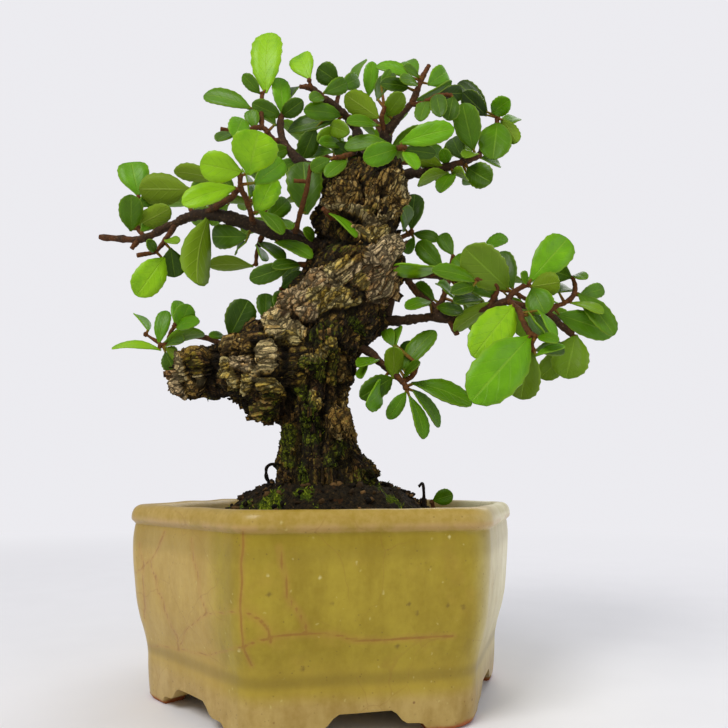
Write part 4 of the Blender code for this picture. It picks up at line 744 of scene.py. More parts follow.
# Clefts as they show from the front, carved and painted near black, some of them lines of painted
# shade, as under the log and below the head: (half width in mm, depth in mm, points)
CLEFTS_AND_SHADE_LINES = (
    (0.55, 1.4, ((-13.0, 89.4), (-11.2, 88.2), (-10.4, 86.8), (-8.4, 85.8), (-6.2, 85.2))),
    (0.35, 0.8, ((-16.2, 85.9), (-14.2, 86.0), (-12.4, 87.6))),
    (0.3, 0.7, ((-9.6, 86.4), (-9.2, 84.6), (-7.4, 83.6))),
    (1.5, 1.9, ((-29.6, 80.5), (-30.2, 77), (-29.6, 73), (-30.4, 69.5), (-31.4, 66.5))),
    (0.8, 1.1, ((-28.8, 77.6), (-24.4, 77.8), (-20.2, 77.4))),
    (0.7, 1.2, ((-19.6, 80.6), (-19.8, 77), (-19.4, 74.4))),
    (1.3, 1.6, ((-13.2, 81.6), (-12.0, 79.4), (-11.6, 76.8), (-12.0, 73.4), (-12.2, 71.4))),
    (0.8, 1.1, ((-18.6, 72.4), (-15.6, 72.0), (-12.4, 72.2))),
    (1.2, 1.5, ((-11.0, 70.6), (-10.8, 66.6), (-11.4, 61.8))),
    (0.8, 1.3, ((-8.9, 66), (-8.6, 60), (-8.4, 54), (-8.8, 50))),
    (0.7, 1.1, ((-2.6, 63), (-2.4, 58), (-2.2, 52))),
    (1.1, 1.5, ((-6.4, 85.6), (-3.2, 87.0), (-0.6, 88.6), (4.6, 89.0), (8.4, 90.2), (13.4, 91.4))),
    (0.7, 1.2, ((-0.8, 75.8), (-1.2, 71.2), (-0.8, 66.6), (-1.6, 63.4))),
    (0.8, 1.2, ((1.8, 81), (2.2, 76), (1.8, 70))), (0.5, 0.8, ((-6.2, 74.4), (-5.6, 70), (-6.4, 65.6))),
    (1.2, 1.7, ((-3.4, 108.4), (2, 107.6), (6.2, 107.6), (11, 108))),
    (1.3, 2.2, ((1.2, 114.7), (4.4, 114.4), (7.6, 113.2), (9.8, 112.0))),
    (0.4, 1.0, ((11.4, 112.4), (13.6, 113.2), (15.8, 114.6))),
    (0.5, 0.9, ((12.6, 124), (12.8, 119), (11.8, 115))),
    (0.6, 1.0, ((6.6, 125.6), (7.6, 121.6), (7.4, 118.2))),
    (0.8, 1.2, ((-17.8, 66.8), (-19.6, 68.8), (-19.6, 71.2))),
    (0.4, 0.9, ((-8.6, 90.0), (-4.8, 92.4), (-1.4, 95.4), (2.4, 96.4))),
    (0.35, 0.8, ((-7.6, 94.4), (-4.0, 97.2))), (0.4, 0.8, ((0.2, 97.4), (3.4, 99.4), (6.6, 101.6))),
    (0.5, 1.0, ((6.0, 101.0), (5.2, 98.4), (5.8, 95.4))),
    (0.3, 0.7, ((9.4, 103.6), (10.4, 99.6), (9.8, 95.8))),
)
# Moss as it shows from the front: (how thick, half width in mm, points)
MOSS = (
    (0.95, 2.6, ((-5.6, 61.4), (-5.0, 57.4))), (0.75, 1.4, ((-10.6, 59.0), (-10.4, 50.4))),
    (0.85, 1.0, ((-7.4, 50.0), (-6.4, 45.6))), (0.9, 1.6, ((-6.4, 42.6), (-3.2, 42.4))),
    (0.6, 1.6, ((-7.6, 75.2), (-4.0, 75.2), (-2.6, 72.0))), (0.6, 1.6, ((-7.4, 68.4), (-5.6, 64.8))),
    (0.45, 1.4, ((0.4, 79.0), (0.4, 71.0))), (0.7, 1.0, ((5.4, 85.8), (7.4, 83.2))),
    (0.5, 1.4, ((-16.2, 67.6), (-14.0, 66.2))), (0.5, 2.0, ((2.0, 54.4), (0.0, 51.0))),
    (0.4, 2.6, ((-4.0, 83.0), (0.0, 84.4))), (0.35, 1.6, ((-35.4, 76.2), (-34.2, 74.2))),
    (0.4, 2.0, ((6.0, 105.9), (0.0, 106.4))), (0.35, 1.2, ((8.4, 116.0), (12.4, 114.6))),
    (0.4, 2.4, ((8.0, 47.0), (12.0, 43.5))), (0.4, 2.0, ((-18.0, 63.4), (-15.0, 62.6))),
)


def grain_run(chain):
    """Which way the grain runs, from the chain's first point to its last."""
    run = np.array(chain[-1][:3]) - np.array(chain[0][:3])
    return np.array((run[0], -run[1], run[2])) / np.linalg.norm(run)


def chain_fit(places, chain):
    """For each place: how far outside the chain's skin it is, and (across, over, along) in its grain."""
    run = grain_run(chain)
    across = np.cross(run, (0.0, 1.0, 0.0))
    across /= np.linalg.norm(across)
    over = np.cross(run, across)
    best = np.full(len(places), 1e9)
    grain = np.zeros((len(places), 3))
    passed = 0.0
    for (x0, d0, z0, r0), (x1, d1, z1, r1) in zip(chain, chain[1:]):
        a, b = np.array((x0, -d0, z0)), np.array((x1, -d1, z1))
        length = np.linalg.norm(b - a)
        share = np.clip((places - a) @ (b - a) / length ** 2, 0, 1)
        spoke = places - (a + np.outer(share, b - a))
        gap = np.linalg.norm(spoke, axis=1) - (r0 + (r1 - r0) * share)
        nearer = gap < best
        best[nearer] = gap[nearer]
        grain[nearer] = np.stack((spoke @ across, spoke @ over, passed + share * length), axis=1)[nearer]
        passed += length
    return best, grain


def grain_relief(spot, ridges, plates):
    """The bark's height in mm, and how deep in a crack it is, at (across, over, along) in the grain."""
    spot = spot + Vector([noise.noise(spot * 0.31 + Vector((k * 9, 0, 0))) for k in range(3)]) * 1.3
    long = Vector((spot.x * 0.5, spot.y * 0.5, spot.z * 0.09))
    groove = 1 - min(abs(noise.noise(long)) / 0.11, 1)
    reach, sites = noise.voronoi(Vector((spot.x * 0.46, spot.y * 0.46, spot.z * 0.21)))
    seam = 1 - min((reach[1] - reach[0]) / 0.2, 1)
    reach, more = noise.voronoi(Vector((spot.x * 1.05 + 7, spot.y * 1.05, spot.z * 0.62)))
    fine = 1 - min((reach[1] - reach[0]) / 0.22, 1)
    height = ridges * (0.7 * noise.noise(long * 1.7 + Vector((5, 5, 5))) - 0.9 * groove)
    height += plates * (0.9 * noise.noise(sites[0] * 5.3) - 0.9 * seam)
    height += 0.35 * noise.noise(more[0] * 7.7) - 0.32 * fine
    return height, max(groove * 0.9, seam, fine * 0.55)


bm = opened(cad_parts["trunk"].data)
bmesh.ops.translate(bm, verts=bm.verts, vec=-AXIS)
bmesh.ops.remove_doubles(bm, verts=bm.verts, dist=0.002 * MM)
skin = bare_object(bm, "trunk_bark")
melt = skin.modifiers.new("melt", "REMESH")
melt.mode = "VOXEL"
melt.voxel_size = SKIN_VOXEL * MM
settled(skin)
bm = opened(skin.data)
for _ in range(SKIN_EASE):
    bmesh.ops.smooth_vert(bm, verts=bm.verts, factor=0.5, use_axis_x=True, use_axis_y=True, use_axis_z=True)
bm.normal_update()
places, normals = places_and_normals(bm)
fits = [chain_fit(places, chain) for _, chain in GRAIN.values()]
cuts = [depths for depths, _ in GRAIN.values()]
gaps = np.array([gap for gap, _ in fits])
near = np.argsort(gaps, axis=0)[:2]
lead = np.take_along_axis(gaps, near, axis=0)
second_share = 0.5 * np.exp(-(lead[1] - lead[0]) / 0.9)

height, crack, fray, tone, yellow, wet, moss = np.zeros((7, len(places)))
grain_of = np.zeros((len(places), 3))
for index, place in enumerate(Vector(place) for place in places):
    for rank, share in ((0, 1 - second_share[index]), (1, second_share[index])):
        if share > 0.08:
            number = near[rank][index]
            spot = Vector(fits[number][1][index]) + Vector((0, 0, 40.0 * number))
            if rank == 0:
                grain_of[index] = spot
            lift, depth = grain_relief(spot, *cuts[number])
            height[index] += lift * share
            crack[index] += depth * share
    fray[index] = noise.noise(place * 0.55) * 0.9 + noise.noise(place * 1.6) * 0.6
    height[index] += 0.12 * noise.noise(place * 2.6)
    tone[index] = 0.3 + 0.42 * noise.noise(place * 0.13 + Vector((4, 4, 4))) + 0.2 * noise.noise(place * 0.5)
    yellow[index] = 0.5 + 0.6 * noise.noise(place * 0.2 + Vector((1, 8, 3)))
    low = min(max((64 - place.z) / 20, 0), 1)
    wet[index] = low * 0.5 + max(0.0, noise.noise(place * 0.09 + Vector((7, 1, 2)))) * 0.7
    moss[index] = low * 0.6 + max(0.0, noise.noise(place * 0.12 + Vector((2, 9, 5)))) * 0.8

# What the photograph shows is carved where the skin faces it; round the back the noise goes on alone
x, z = front_readings(places)
facing = np.where(places[:, 1] < 3, np.clip(0.55 - normals[:, 1] * 1.6, 0, 1), 0)
# On the front the skin is first painted dark all over, partly as wet bark and partly as painted shade, most
# of all under the log and the head; the dry plates go on over it
tone += (0.27 + fray * 0.12 - tone) * facing
wet += (0.34 - wet) * facing
moss += (0.2 - moss) * facing
dry = np.zeros(len(places))
for kind, rise, half, points in DRY:
    gap = line_gaps(x, z, points) + fray * 0.5 - 0.4
    inner = np.clip((half - gap) / 0.35 + 0.5, 0, 1) * facing
    border = np.clip(1 - np.abs(gap - half - 0.35) / 0.45, 0, 1) * facing
    height += rise * inner - 0.35 * border * (1 - dry)
    crack = np.maximum(crack, border * 0.7 * (1 - dry))
    tone += (KINDS[kind][0] + fray * 0.05 - tone) * inner
    yellow += (KINDS[kind][1] + fray * 0.1 - yellow) * inner
    wet *= 1 - inner
    dry = np.maximum(dry, inner)
# Each cleft is carved and painted near black, which is partly painted shade
for half, depth, points in CLEFTS_AND_SHADE_LINES:
    cleft_and_shade = np.clip(1 - (line_gaps(x, z, points) + fray * 0.3) / (half * 1.6), 0, 1) ** 0.7 * facing
    height -= depth * cleft_and_shade
    crack = np.maximum(crack, cleft_and_shade)
for thick, half, points in MOSS:
    gap = line_gaps(x, z, points) + fray * 0.9
    moss = np.maximum(moss, thick * np.clip((half - gap) / 0.8 + 0.6, 0, 1) * facing)

write_marks(bm, {"tone": tone, "yellow": yellow, "crack": np.minimum(crack, 1), "wet": wet, "moss": moss})
grain_layer = bm.verts.layers.float_vector.new("grain")
for index, v in enumerate(bm.verts):
    v[grain_layer] = grain_of[index]
    v.co += v.normal * (height[index] + SKIN_LIFT) * MM
bm.to_mesh(skin.data)
bm.free()


def bark_paint(flow, place):
    tone, crack, yellow = flow.mark("tone"), flow.mark("crack"), flow.mark("yellow")
    grain = flow.mark("grain", "Vector").plus(place.clouds(0.7, 2.0, 0.5, 1), 0.9)
    grit = place.clouds(1.7, 4.0, 0.7)
    fibre = grain.times(1, 1, 0.3).clouds(1.5, 3.0, 0.65)
    own = grain.times(1, 1, 0.5).cells(0.85, "F1", "Color").part(0)
    net = grain.times(1, 1, 0.5).cells(0.85, "DISTANCE_TO_EDGE").rising(0.19, 0.06)
    fine = grain.times(1, 1, 0.55).cells(2.1, "DISTANCE_TO_EDGE").rising(0.2, 0.04)
    blend = tone + 0.13 + (own - 0.5) * 0.34 + (fibre - 0.5) * 0.6 + (grit - 0.5) * 0.6
    greyish = blend.ramp((0.08, 22, 12, 5), (0.33, 62, 40, 20), (0.5, 120, 84, 48), (0.62, 172, 128, 82),
                         (0.76, 212, 168, 112), (0.92, 238, 208, 158))
    yellowish = blend.ramp((0.08, 20, 14, 2), (0.33, 62, 50, 10), (0.5, 130, 102, 28), (0.62, 182, 150, 54),
                           (0.76, 218, 188, 96), (0.92, 238, 216, 144))
    colour = yellow.mix(greyish, yellowish)
    # Wet bark is painted darker and shinier; on the front this darkening is partly painted shade
    wet = (flow.mark("wet") + (fibre - 0.5) * 0.5).rising(0.15, 0.7)
    colour = (wet * 0.62).over(colour, 26, 21, 8)
    cover = (flow.mark("moss") + (grit - 0.5) * 1.2 + (fibre - 0.5) * 0.8).rising(0.22, 0.6)
    green = grit.rising(0.35, 0.65).mix(tint(38, 50, 4), tint(118, 136, 12))
    colour = (cover * 0.85).mix(colour, green)
    # Cracks are painted near black; along the clefts this is partly painted shade
    cracks = flow.maths("MAXIMUM", (crack + (grit - 0.5) * 0.4).rising(0.45, 0.9), net * 0.94)
    cracks = flow.maths("MAXIMUM", cracks, fine * 0.5)
    colour = (cracks * 0.92).over(colour, 14, 10, 4)
    height = 0.5 + grit * 0.35 + fibre * 0.3 + own * 0.15 - net * 0.5 - fine * 0.3
    return {"Base Color": colour, "Roughness": 0.9 - wet * 0.15 + (grit - 0.5) * 0.2,
            "Normal": flow.bump(height, 0.5)}


def thickened(item, name, thickness, underside=0):
    """Gives a piece that is made as a sheet its thickness in mm; its underside can have the next finish."""
    body = item.modifiers.new(name, "SOLIDIFY")
    body.thickness = thickness * MM
    body.offset = 0
    body.material_offset = underside


bark_finish = finish("old bark", bark_paint, Specular_IOR_Level=0.2)
stand(skin, [bark_finish], ["trunk"])

# Moss stands off the bark where it is thick, and curled chips of bark stick out along its edges
draw = random.Random(23)
spots = [(Vector(places[index]) * MM + Vector(normals[index]) * (height[index] + SKIN_LIFT) * MM,
          Vector(normals[index]), draw.uniform(0.4, 0.9))
         for index in np.flatnonzero(moss > 0.5) if draw.random() < 0.09]
blades_of_moss("trunk_moss", spots, draw)

bm = bmesh.new()
chip_marks = {name: bm.verts.layers.float.new(name) for name in ("tone", "yellow", "wet")}
chip_grain = bm.verts.layers.float_vector.new("grain")
rough_places = np.flatnonzero((places[:, 2] > 44) & (crack > 0.35))
for index in draw.sample(list(rough_places), BARK_CHIPS):
    normal = Vector(normals[index])
    _, chain = list(GRAIN.values())[near[0][index]]
    run = Vector(grain_run(chain)) * draw.choice((-1, 1))
    side = run.cross(normal).normalized()
    out = (side.cross(run) * draw.uniform(0.35, 0.9) + side * draw.uniform(-0.9, 0.9)).normalized()
    long, wide = draw.uniform(0.5, 1.5), draw.uniform(0.35, 0.9)
    made = bmesh.ops.create_grid(bm, x_segments=4, y_segments=3, size=1.0)
    root = Vector(places[index]) * MM + normal * (height[index] + 0.1) * MM
    for v in made["verts"]:
        u, t = v.co.x, (v.co.y + 1) / 2
        ragged = 1 - 0.35 * abs(noise.noise(Vector((u * 2.1, index, t))))
        v.co = root + (run * u * long * (1 - 0.3 * t) + out * t * wide * 2 * ragged
                       + normal * 0.3 * wide * u * u * t) * MM
        v[chip_marks["tone"]] = tone[index] * 0.8
        v[chip_marks["yellow"]] = yellow[index]
        v[chip_marks["wet"]] = wet[index]
        v[chip_grain] = grain_of[index] + np.array((v.co.x, v.co.y, v.co.z)) / MM * 0.7
chips = stand(bare_object(bm, "bark_chips"), [bark_finish])
thickened(chips, "chip thickness", CHIP_THICKNESS)


# Branches: living wood from 5 mm thick at the trunk to 1 mm at the tips, dark brown where it is old and
# orange-brown where it is new, with a swelling wherever a leaf leaves it. Each spray grows
# out of the trunk's bark, and each twig out of an earlier one.
# A spray gives its twigs: the route as (x, z, depth, thickness), then its leaves as (x and z of the
# blade's foot, x and z of its tip, width, lean to the front, +1 for the upper face or -1 for the
# lower, tone). The readings are from the front, in mm.
SPRAYS = {
    "spray_left": (
        (((0, 104.2, 0, 5.4), (-8, 106.3, 2, 4.9), (-14, 109.2, 4, 4.3), (-20, 111.4, 5, 3.9),
           (-26, 113.4, 5, 3.6), (-30, 114.5, 4, 3.5), (-34, 114.5, 3, 3), (-38, 113.5, 2, 2.6),
           (-42, 111.5, 1, 2.4), (-48, 108.6, 0, 2.1), (-52, 107.5, -1, 1.9), (-60.5, 108.5, -3, 1.6)),
         ((-32.5, 114, -35.3, 95.4, 7.8, 7, -1, "p"), (-21.8, 108.5, -31.5, 108.5, 6.5, -5, 1, "d"),
          (-15, 107, -5.5, 103, 3, 5, 1, "m"), (-17.5, 113, -11.8, 118.5, 5, -6, 1, "m"),
          (-15.5, 112.5, -11, 111, 1.6, 7, 1, "m"), (-5, 107.5, -7.5, 110.5, 2.5, 7, 1, "m"),
          (-22.5, 107, -25, 104.2, 1.2, -7, 1, "m"), (-50, 109.5, -46, 113.5, 3.5, -6, 1, "m"))),
        (((-50, 108.2, -1, 1.5), (-52, 105.3, 0, 1.3)),
         ()),
        (((-41, 112, 1, 1.7), (-43.5, 107.5, 4, 1.5), (-46, 104.5, 6, 1.3), (-50.5, 103.3, 8, 1.2)),
         ((-43.5, 102.8, -50, 92.8, 7.5, 3, 1, "l"), (-42, 105.5, -40.5, 97.6, 6, -3, 1, "d"),
          (-43, 107.5, -40.3, 106.5, 2.2, 6, 1, "y"), (-46, 104.5, -48, 107.5, 2.5, 6, 1, "m"))),
        (((-33.5, 114.6, 3, 2), (-30, 117.2, 7, 1.8), (-27, 119, 10, 1.6), (-25, 121.5, 14, 1.4)),
         ((-30.5, 124, -42, 126.5, 4.5, -2, -1, "o"), (-25.5, 122, -39.5, 117.2, 5.5, 5, 1, "l"))),
        (((-36, 114, 2, 1.6), (-38, 118, -2, 1.3), (-37.4, 121.5, -3, 1.1)),
         ((-37.5, 121.5, -51, 121.5, 8.5, -1, -1, "o"), (-38, 119, -31, 125.5, 5.5, -6, 1, "m"))),
        (((-49, 108.4, 0, 1.5), (-51.5, 113, -4, 1.3), (-51, 119.5, -6, 1.1)),
         ((-52.5, 110, -53, 120, 6, 5, 1, "m"), (-52.3, 110.5, -42.5, 116.3, 5.5, 4, -1, "o"),
          (-51, 119.5, -53.5, 129.3, 8, -2, 1, "b"), (-51.3, 117, -45, 120.5, 4.5, -6, 1, "m"))),
        (((-20.4, 111, 6, 1.8), (-21.3, 114, 9, 1.6), (-22.5, 118.5, 13, 1.5), (-24.3, 121.5, 17, 1.4),
           (-24.6, 125.8, 21, 1.2)),
         ((-22.5, 125.5, -20, 138, 12, 4, 1, "l"), (-24, 126.3, -35.3, 128.8, 8, 3, 1, "l"),
          (-21, 123, -13, 129.5, 6, -4, 1, "b"), (-20.3, 114.5, -15.5, 125, 6.5, 2, 1, "l"),
          (-22, 119, -23.3, 126.5, 2.4, -6, 1, "m"), (-19.5, 115.5, -13.3, 109.5, 3, 5, 1, "m"))),
        (((-10, 107.5, 3, 1.7), (-8.5, 116, 8, 1.4), (-7, 122, 11, 1.3), (-6, 128.3, 13, 1.1)),
         ((-7, 114.5, -8, 129, 9.5, -8, 1, "d"),)),
        (((-6.9, 123.6, 11.6, 1.2), (-10.5, 124, 12, 1.1)),
         ()),
        (((-18, 110.5, 3, 1.5), (-19.5, 105, -3, 1.3), (-19.8, 101, -6, 1.1)),
         ((-20.5, 100.5, -32, 100.5, 3.8, -2, -1, "o"), (-20, 106, -18, 102.3, 1.4, 7, 1, "m"),
          (-19.5, 107, -12.5, 102.2, 2.6, 4, 1, "m"))),
    ),
    "shoot_shoulder": (
        (((0, 100.2, 2, 1.8), (-7, 101, 5, 1.5), (-11, 100.9, 6, 1.2)),
         ((-10.5, 100.8, -21.3, 97, 4.8, 1, 1, "d"), (-8, 100.8, -15.5, 100.5, 2.6, 5, 1, "d"))),
    ),
    "shoot_log": (
        (((-5, 88, -6, 1.8), (-11.6, 91.5, -6, 1.5), (-13.2, 94.6, -6, 1.2)),
         ((-13, 94.8, -7.5, 98.8, 3.8, 4, 1, "d"), (-13, 94, -14.3, 90, 3.3, 5, 1, "m"),
          (-12.6, 95.5, -9.2, 101, 3, -4, 1, "d"))),
    ),
    "shoot_notch": (
        (((-12, 80, -3, 1.8), (-16.6, 86.2, -3, 1.4)),
         ((-17, 86.3, -17, 93.4, 4.8, -2, 1, "d"),)),
    ),
    "shoot_stub": (
        (((-24, 77, -3, 1.8), (-26, 82.4, -4, 1.4)),
         ((-26, 82, -21.5, 91.5, 7.4, 1, 1, "d"), (-27, 81.8, -31, 82.4, 1.8, 5, 1, "m"))),
    ),
    "shoot_neck": (
        (((0, 113, 7, 1.6), (-2.6, 116.2, 12, 1.2)),
         ((-1.5, 115, 6, 108.3, 1.6, 2, 1, "b"),)),
    ),
    "spray_left_low": (
        (((-22, 77, -6, 2), (-30.5, 81.2, -8.5, 1.6), (-35.5, 82, -9, 1.4), (-40, 81, -8, 1.3),
           (-43.5, 79.5, -7, 1.1)),
         ((-43, 78.5, -55.5, 79.5, 1.8, 2, 1, "l"), (-43.7, 80, -42.3, 88.8, 3.8, -2, 1, "b"),
          (-42.5, 80.3, -32.5, 83, 3.3, 4, -1, "m"), (-42, 79.5, -37.5, 80.7, 1.8, 7, 1, "d"),
          (-42, 79, -39, 76.5, 2.8, 6, -1, "p"), (-42, 78, -39.5, 73, 4.2, 3, 1, "d"))),
        (((-41.5, 80.6, -7.6, 1.2), (-41, 83, -7, 1.1), (-39.5, 85.5, -6, 1)),
         ((-40, 85.3, -39, 91.5, 3.5, -4, 1, "b"), (-38.8, 84.5, -36.5, 90.3, 5, 3, 1, "b"),
          (-39.5, 84.3, -34, 86, 3, 6, 1, "b"))),
        (((-42.8, 79.8, -7.2, 1.1), (-47.5, 82.8, -8, 1)),
         ((-46.5, 83.5, -50, 87.8, 1.8, -5, 1, "b"),)),
    ),
    "spray_crown_left": (
        (((6, 122, 0, 4.2), (0, 125, 1, 3.6), (-4, 127, 2, 3.1), (-8, 128.5, 3, 2.9),
           (-11, 131.5, 3, 2.6), (-13.5, 134.5, 2, 2.4), (-14.2, 138, 1, 2.1), (-14, 142.6, 0, 1.8)),
         ((-14, 143, -14.8, 153.8, 5, -2, 1, "b"), (-14.2, 142.3, -22, 146, 4.5, 4, 1, "m"),
          (-14, 142.3, -8.5, 146.8, 4.5, 4, 1, "d"), (-12.4, 146.8, -9.8, 151, 2.5, -6, 1, "d"),
          (-12, 133, -17.5, 131, 4, 5, 1, "m"), (-9, 130, -15, 126.8, 3.5, -5, 1, "m"))),
        (((-13.8, 135, 2, 2), (-16.3, 135.6, 3, 1.8), (-19.3, 139.2, 4, 1.7), (-25, 137.7, 6, 1.5),
           (-30.3, 138.5, 7, 1.3)),
         ((-24.5, 141.5, -26.5, 136.5, 5.5, 7, 1, "b"), (-15.5, 139.5, -22, 144.5, 3.5, -5, 1, "d"),
          (-21, 138.5, -22.5, 144, 4, -4, 1, "m"), (-26, 137, -31, 135, 2.2, 7, 1, "d"))),
        (((-19.3, 139, 4, 1.5), (-19.6, 144, 2, 1.3), (-19.3, 149, 1, 1.1)),
         ((-18.5, 149, -17.8, 167, 8.3, -3, 1, "l"), (-20, 148.8, -24.7, 154.6, 3.5, 3, 1, "m"),
          (-22.3, 144.5, -35, 148.4, 4.5, -2, 1, "m"))),
    ),
    "spray_crown_top": (
        (((9, 124, -2, 4.2), (7, 132, -3, 3.3), (6, 138, -4, 3), (4, 141.5, -3, 2.8),
           (2.5, 143, -2, 2.6), (0, 145.5, -1, 2.4), (-3, 147.5, 0, 2.1), (-6.5, 150.5, 1, 1.8),
           (-9.3, 151, 2, 1.5)),
         ((-3, 149, 3.2, 152, 4.5, -4, 1, "m"), (-3, 148, -6.5, 146.8, 3, 6, 1, "m"),
          (2, 142.5, -8, 144, 4.5, 6, 1, "m"), (1, 140.8, -12.3, 138.2, 4, -2, 1, "d"),
          (-5, 139, -8.2, 130.5, 5.5, -3, 1, "d"), (1, 138.5, -4.5, 135, 4, 5, 1, "y"),
          (-1, 139.5, 4, 137.5, 4.5, 7, 1, "o"), (2, 134, -4, 134.5, 3, 5, 1, "m"),
          (0, 132, -6.5, 131.5, 3, -5, 1, "m"), (7.5, 129.5, 0, 134, 4.5, 6, 1, "d"))),
        (((-6, 150, 1, 1.4), (-6.8, 152.8, 2, 1.1)),
         ((-6.6, 153, -9.8, 160, 6.8, -4, 1, "l"),)),
        (((0.4, 145.2, -1, 1.5), (1.2, 149, -4, 1.2), (1.5, 152.3, -5, 1)),
         ((1.2, 152.2, -4.5, 156.5, 6, 3, 1, "d"), (1.4, 150.5, 6.5, 153.5, 4.5, -5, 1, "m"))),
        (((7.2, 131.5, -3, 1.8), (6, 131.8, 4, 1.6), (3.5, 131, 9, 1.4), (0, 130.2, 12, 1.2)),
         ((3.6, 129.5, -2, 125, 3.5, 3, 1, "m"), (5.2, 130, -0.3, 121.3, 2.2, 5, 1, "m"),
          (-1, 130, -6, 127, 4, 3, 1, "m"))),
    ),
    "spray_crown_right": (
        (((13, 125, 1, 4.2), (14, 134, 3, 3.1), (13.5, 137, 4, 2.9), (15.5, 139.5, 5, 2.6),
           (18, 143, 5, 2.3), (20.5, 146, 5, 2), (22.5, 150, 4, 1.7), (24, 154, 3, 1.5),
           (25.5, 157.2, 2, 1.3)),
         ((21, 153.5, 11.5, 157.6, 3.2, -2, 1, "b"), (20, 150.5, 12.5, 151.8, 3.5, 5, 1, "d"),
          (14, 142.5, 18.5, 149, 5, 6, 1, "o"), (22.5, 154, 19.5, 158.3, 4, -6, 1, "m"),
          (22.8, 153.5, 19, 157, 1.8, 5, 1, "m"), (25.2, 151.5, 30.5, 155.5, 5.5, -4, 1, "b"),
          (22.5, 151.5, 17.8, 152.8, 2.5, 7, 1, "m"), (22, 147, 31.5, 152.3, 3.2, -3, 1, "m"))),
        (((13, 137.5, 4, 1.5), (12.7, 141.5, 7, 1.3), (13.5, 145, 8, 1.2)),
         ((12, 141.8, 3, 148.5, 6.5, 2, -1, "o"), (11.8, 139.5, 3.5, 140.8, 2.8, 5, 1, "m"),
          (11.5, 146.8, 15.5, 155, 4, -3, 1, "d"), (12.6, 151, 15, 156, 2.2, -6, 1, "m"))),
        (((13.2, 136, 2, 1.8), (10.5, 142, -4, 1.5), (8.5, 147, -8, 1.2), (5.5, 149.3, -12, 1)),
         ((4.8, 149.5, 8.2, 158.8, 2.4, -3, 1, "m"), (9.2, 148, 10.3, 158.3, 4, 3, 1, "b"))),
        (((20.3, 145.7, 5, 1.5), (24, 146.2, 7, 1.3), (28, 148.5, 8, 1.1), (31.5, 148.3, 8, 1)),
         ((28, 148.8, 34.5, 149, 4.5, -5, 1, "v"), (27.5, 148.6, 28.5, 142.5, 4.5, 5, 1, "d"),
          (32, 148, 30.5, 141, 5, 1, 1, "d"), (25, 146.5, 23, 141, 4, 5, 1, "m"))),
        (((14.5, 130, 5, 2), (16.5, 132.8, 12, 1.6), (19, 133.4, 17, 1.3)),
         ((17.5, 134.5, 32, 138.7, 5.8, 4, 1, "b"), (17, 133, 7.8, 130, 6, 3, 1, "b"),
          (18.6, 132, 21.8, 127.3, 3, 5, 1, "b"), (18.4, 132.8, 27, 131.5, 4, -1, 1, "d"),
          (14, 134.8, 2.8, 133.5, 4, -4, 1, "m"))),
    ),
    "spray_crown_low": (
        (((14, 123.5, 1, 3.4), (20, 126, 3, 2.8), (24, 126.2, 4, 2.5), (28, 127.3, 4, 2.3),
           (32, 128.3, 3, 2.1), (36, 130, 2, 1.9), (38.5, 131, 1, 1.7)),
         ((37, 132.5, 34.5, 146, 7, 4, 1, "m"), (23, 134.6, 28, 130.5, 5, -6, 1, "m"),
          (29.2, 127, 21.8, 130, 3.5, 6, -1, "o"), (30, 128.8, 28.8, 133, 3.2, 6, 1, "m"),
          (34, 130, 31.5, 136, 5, -5, 1, "d"), (37.5, 131.5, 34.5, 130.3, 2.2, 7, 1, "p"),
          (29.8, 126, 22, 123.3, 3.2, 5, -1, "p"), (31.5, 125.8, 28, 121, 3.4, 6, 1, "m"),
          (31.2, 126, 34.8, 125, 2.8, 8, -1, "p"), (35, 126.5, 35.2, 122.6, 2.8, -6, 1, "m"),
          (35.3, 127.5, 41.5, 123.5, 6.5, 5, 1, "d"), (38.8, 130.3, 43.8, 128.2, 2.2, -6, 1, "m"))),
        (((38, 131, 1, 1.6), (41, 136, -2, 1.4), (43.5, 140, -3, 1.3), (43.8, 142, -3, 1.2),
           (45, 144.5, -2, 1.1), (46, 146, -1, 1)),
         ((41, 143.2, 33.5, 152, 5.5, -3, 1, "v"), (40.8, 142.4, 34.6, 149.3, 5, 5, 1, "v"),
          (42.3, 143.3, 47, 147, 5, 6, 1, "b"), (43.7, 140.5, 42, 129.7, 8.5, 5, 1, "m"),
          (45, 141.5, 48.8, 134.5, 4, 3, -1, "p"), (44.5, 139, 49, 141.6, 3, -6, 1, "m"))),
    ),
    "shoot_right_neck": (
        (((11, 105.5, -5, 2), (18.6, 108.6, -8, 1.5), (20.6, 110, -8, 1.3)),
         ((20.3, 110.3, 21.3, 120.2, 5.5, -2, 1, "d"), (18.5, 110.5, 18, 116, 3, 5, 1, "d"),
          (20.7, 109.3, 27.3, 107.8, 2.8, 4, 1, "m"), (21, 108.4, 18.8, 104, 2.8, -5, 1, "m"))),
    ),
    "spray_right": (
        (((7, 85.6, 0, 3.6), (14, 86, 1, 3), (18, 86.2, 2, 2.8), (22, 86.8, 3, 2.6), (26, 87.2, 4, 2.5),
           (30, 86.5, 5, 2.4), (34, 88, 6, 2.2), (40, 90, 8, 2), (45, 91.5, 9, 1.9)),
         ((38, 91.5, 31, 91.2, 2.8, 6, 1, "d"), (43, 91, 30.5, 83.8, 4, -2, -1, "o"),
          (25, 91, 18.6, 89.2, 2.8, 6, 1, "m"), (26.6, 89.8, 33, 88.5, 3.3, 5, 1, "d"))),
        (((29.6, 86.6, 5, 1.9), (31.5, 82.5, 6, 1.5)),
         ()),
        (((13, 101.5, -2, 2.6), (17, 99, 0, 2.3), (20, 95.5, 1, 2.1), (22, 93, 2, 2), (25, 90.5, 3, 1.9),
           (27, 88.3, 4, 1.8)),
         ()),
        (((26, 87.5, 4, 2.2), (26.5, 89.5, 4, 2.1), (28, 92, 3, 1.9), (29, 95, 2, 1.7), (30, 98, 1, 1.5),
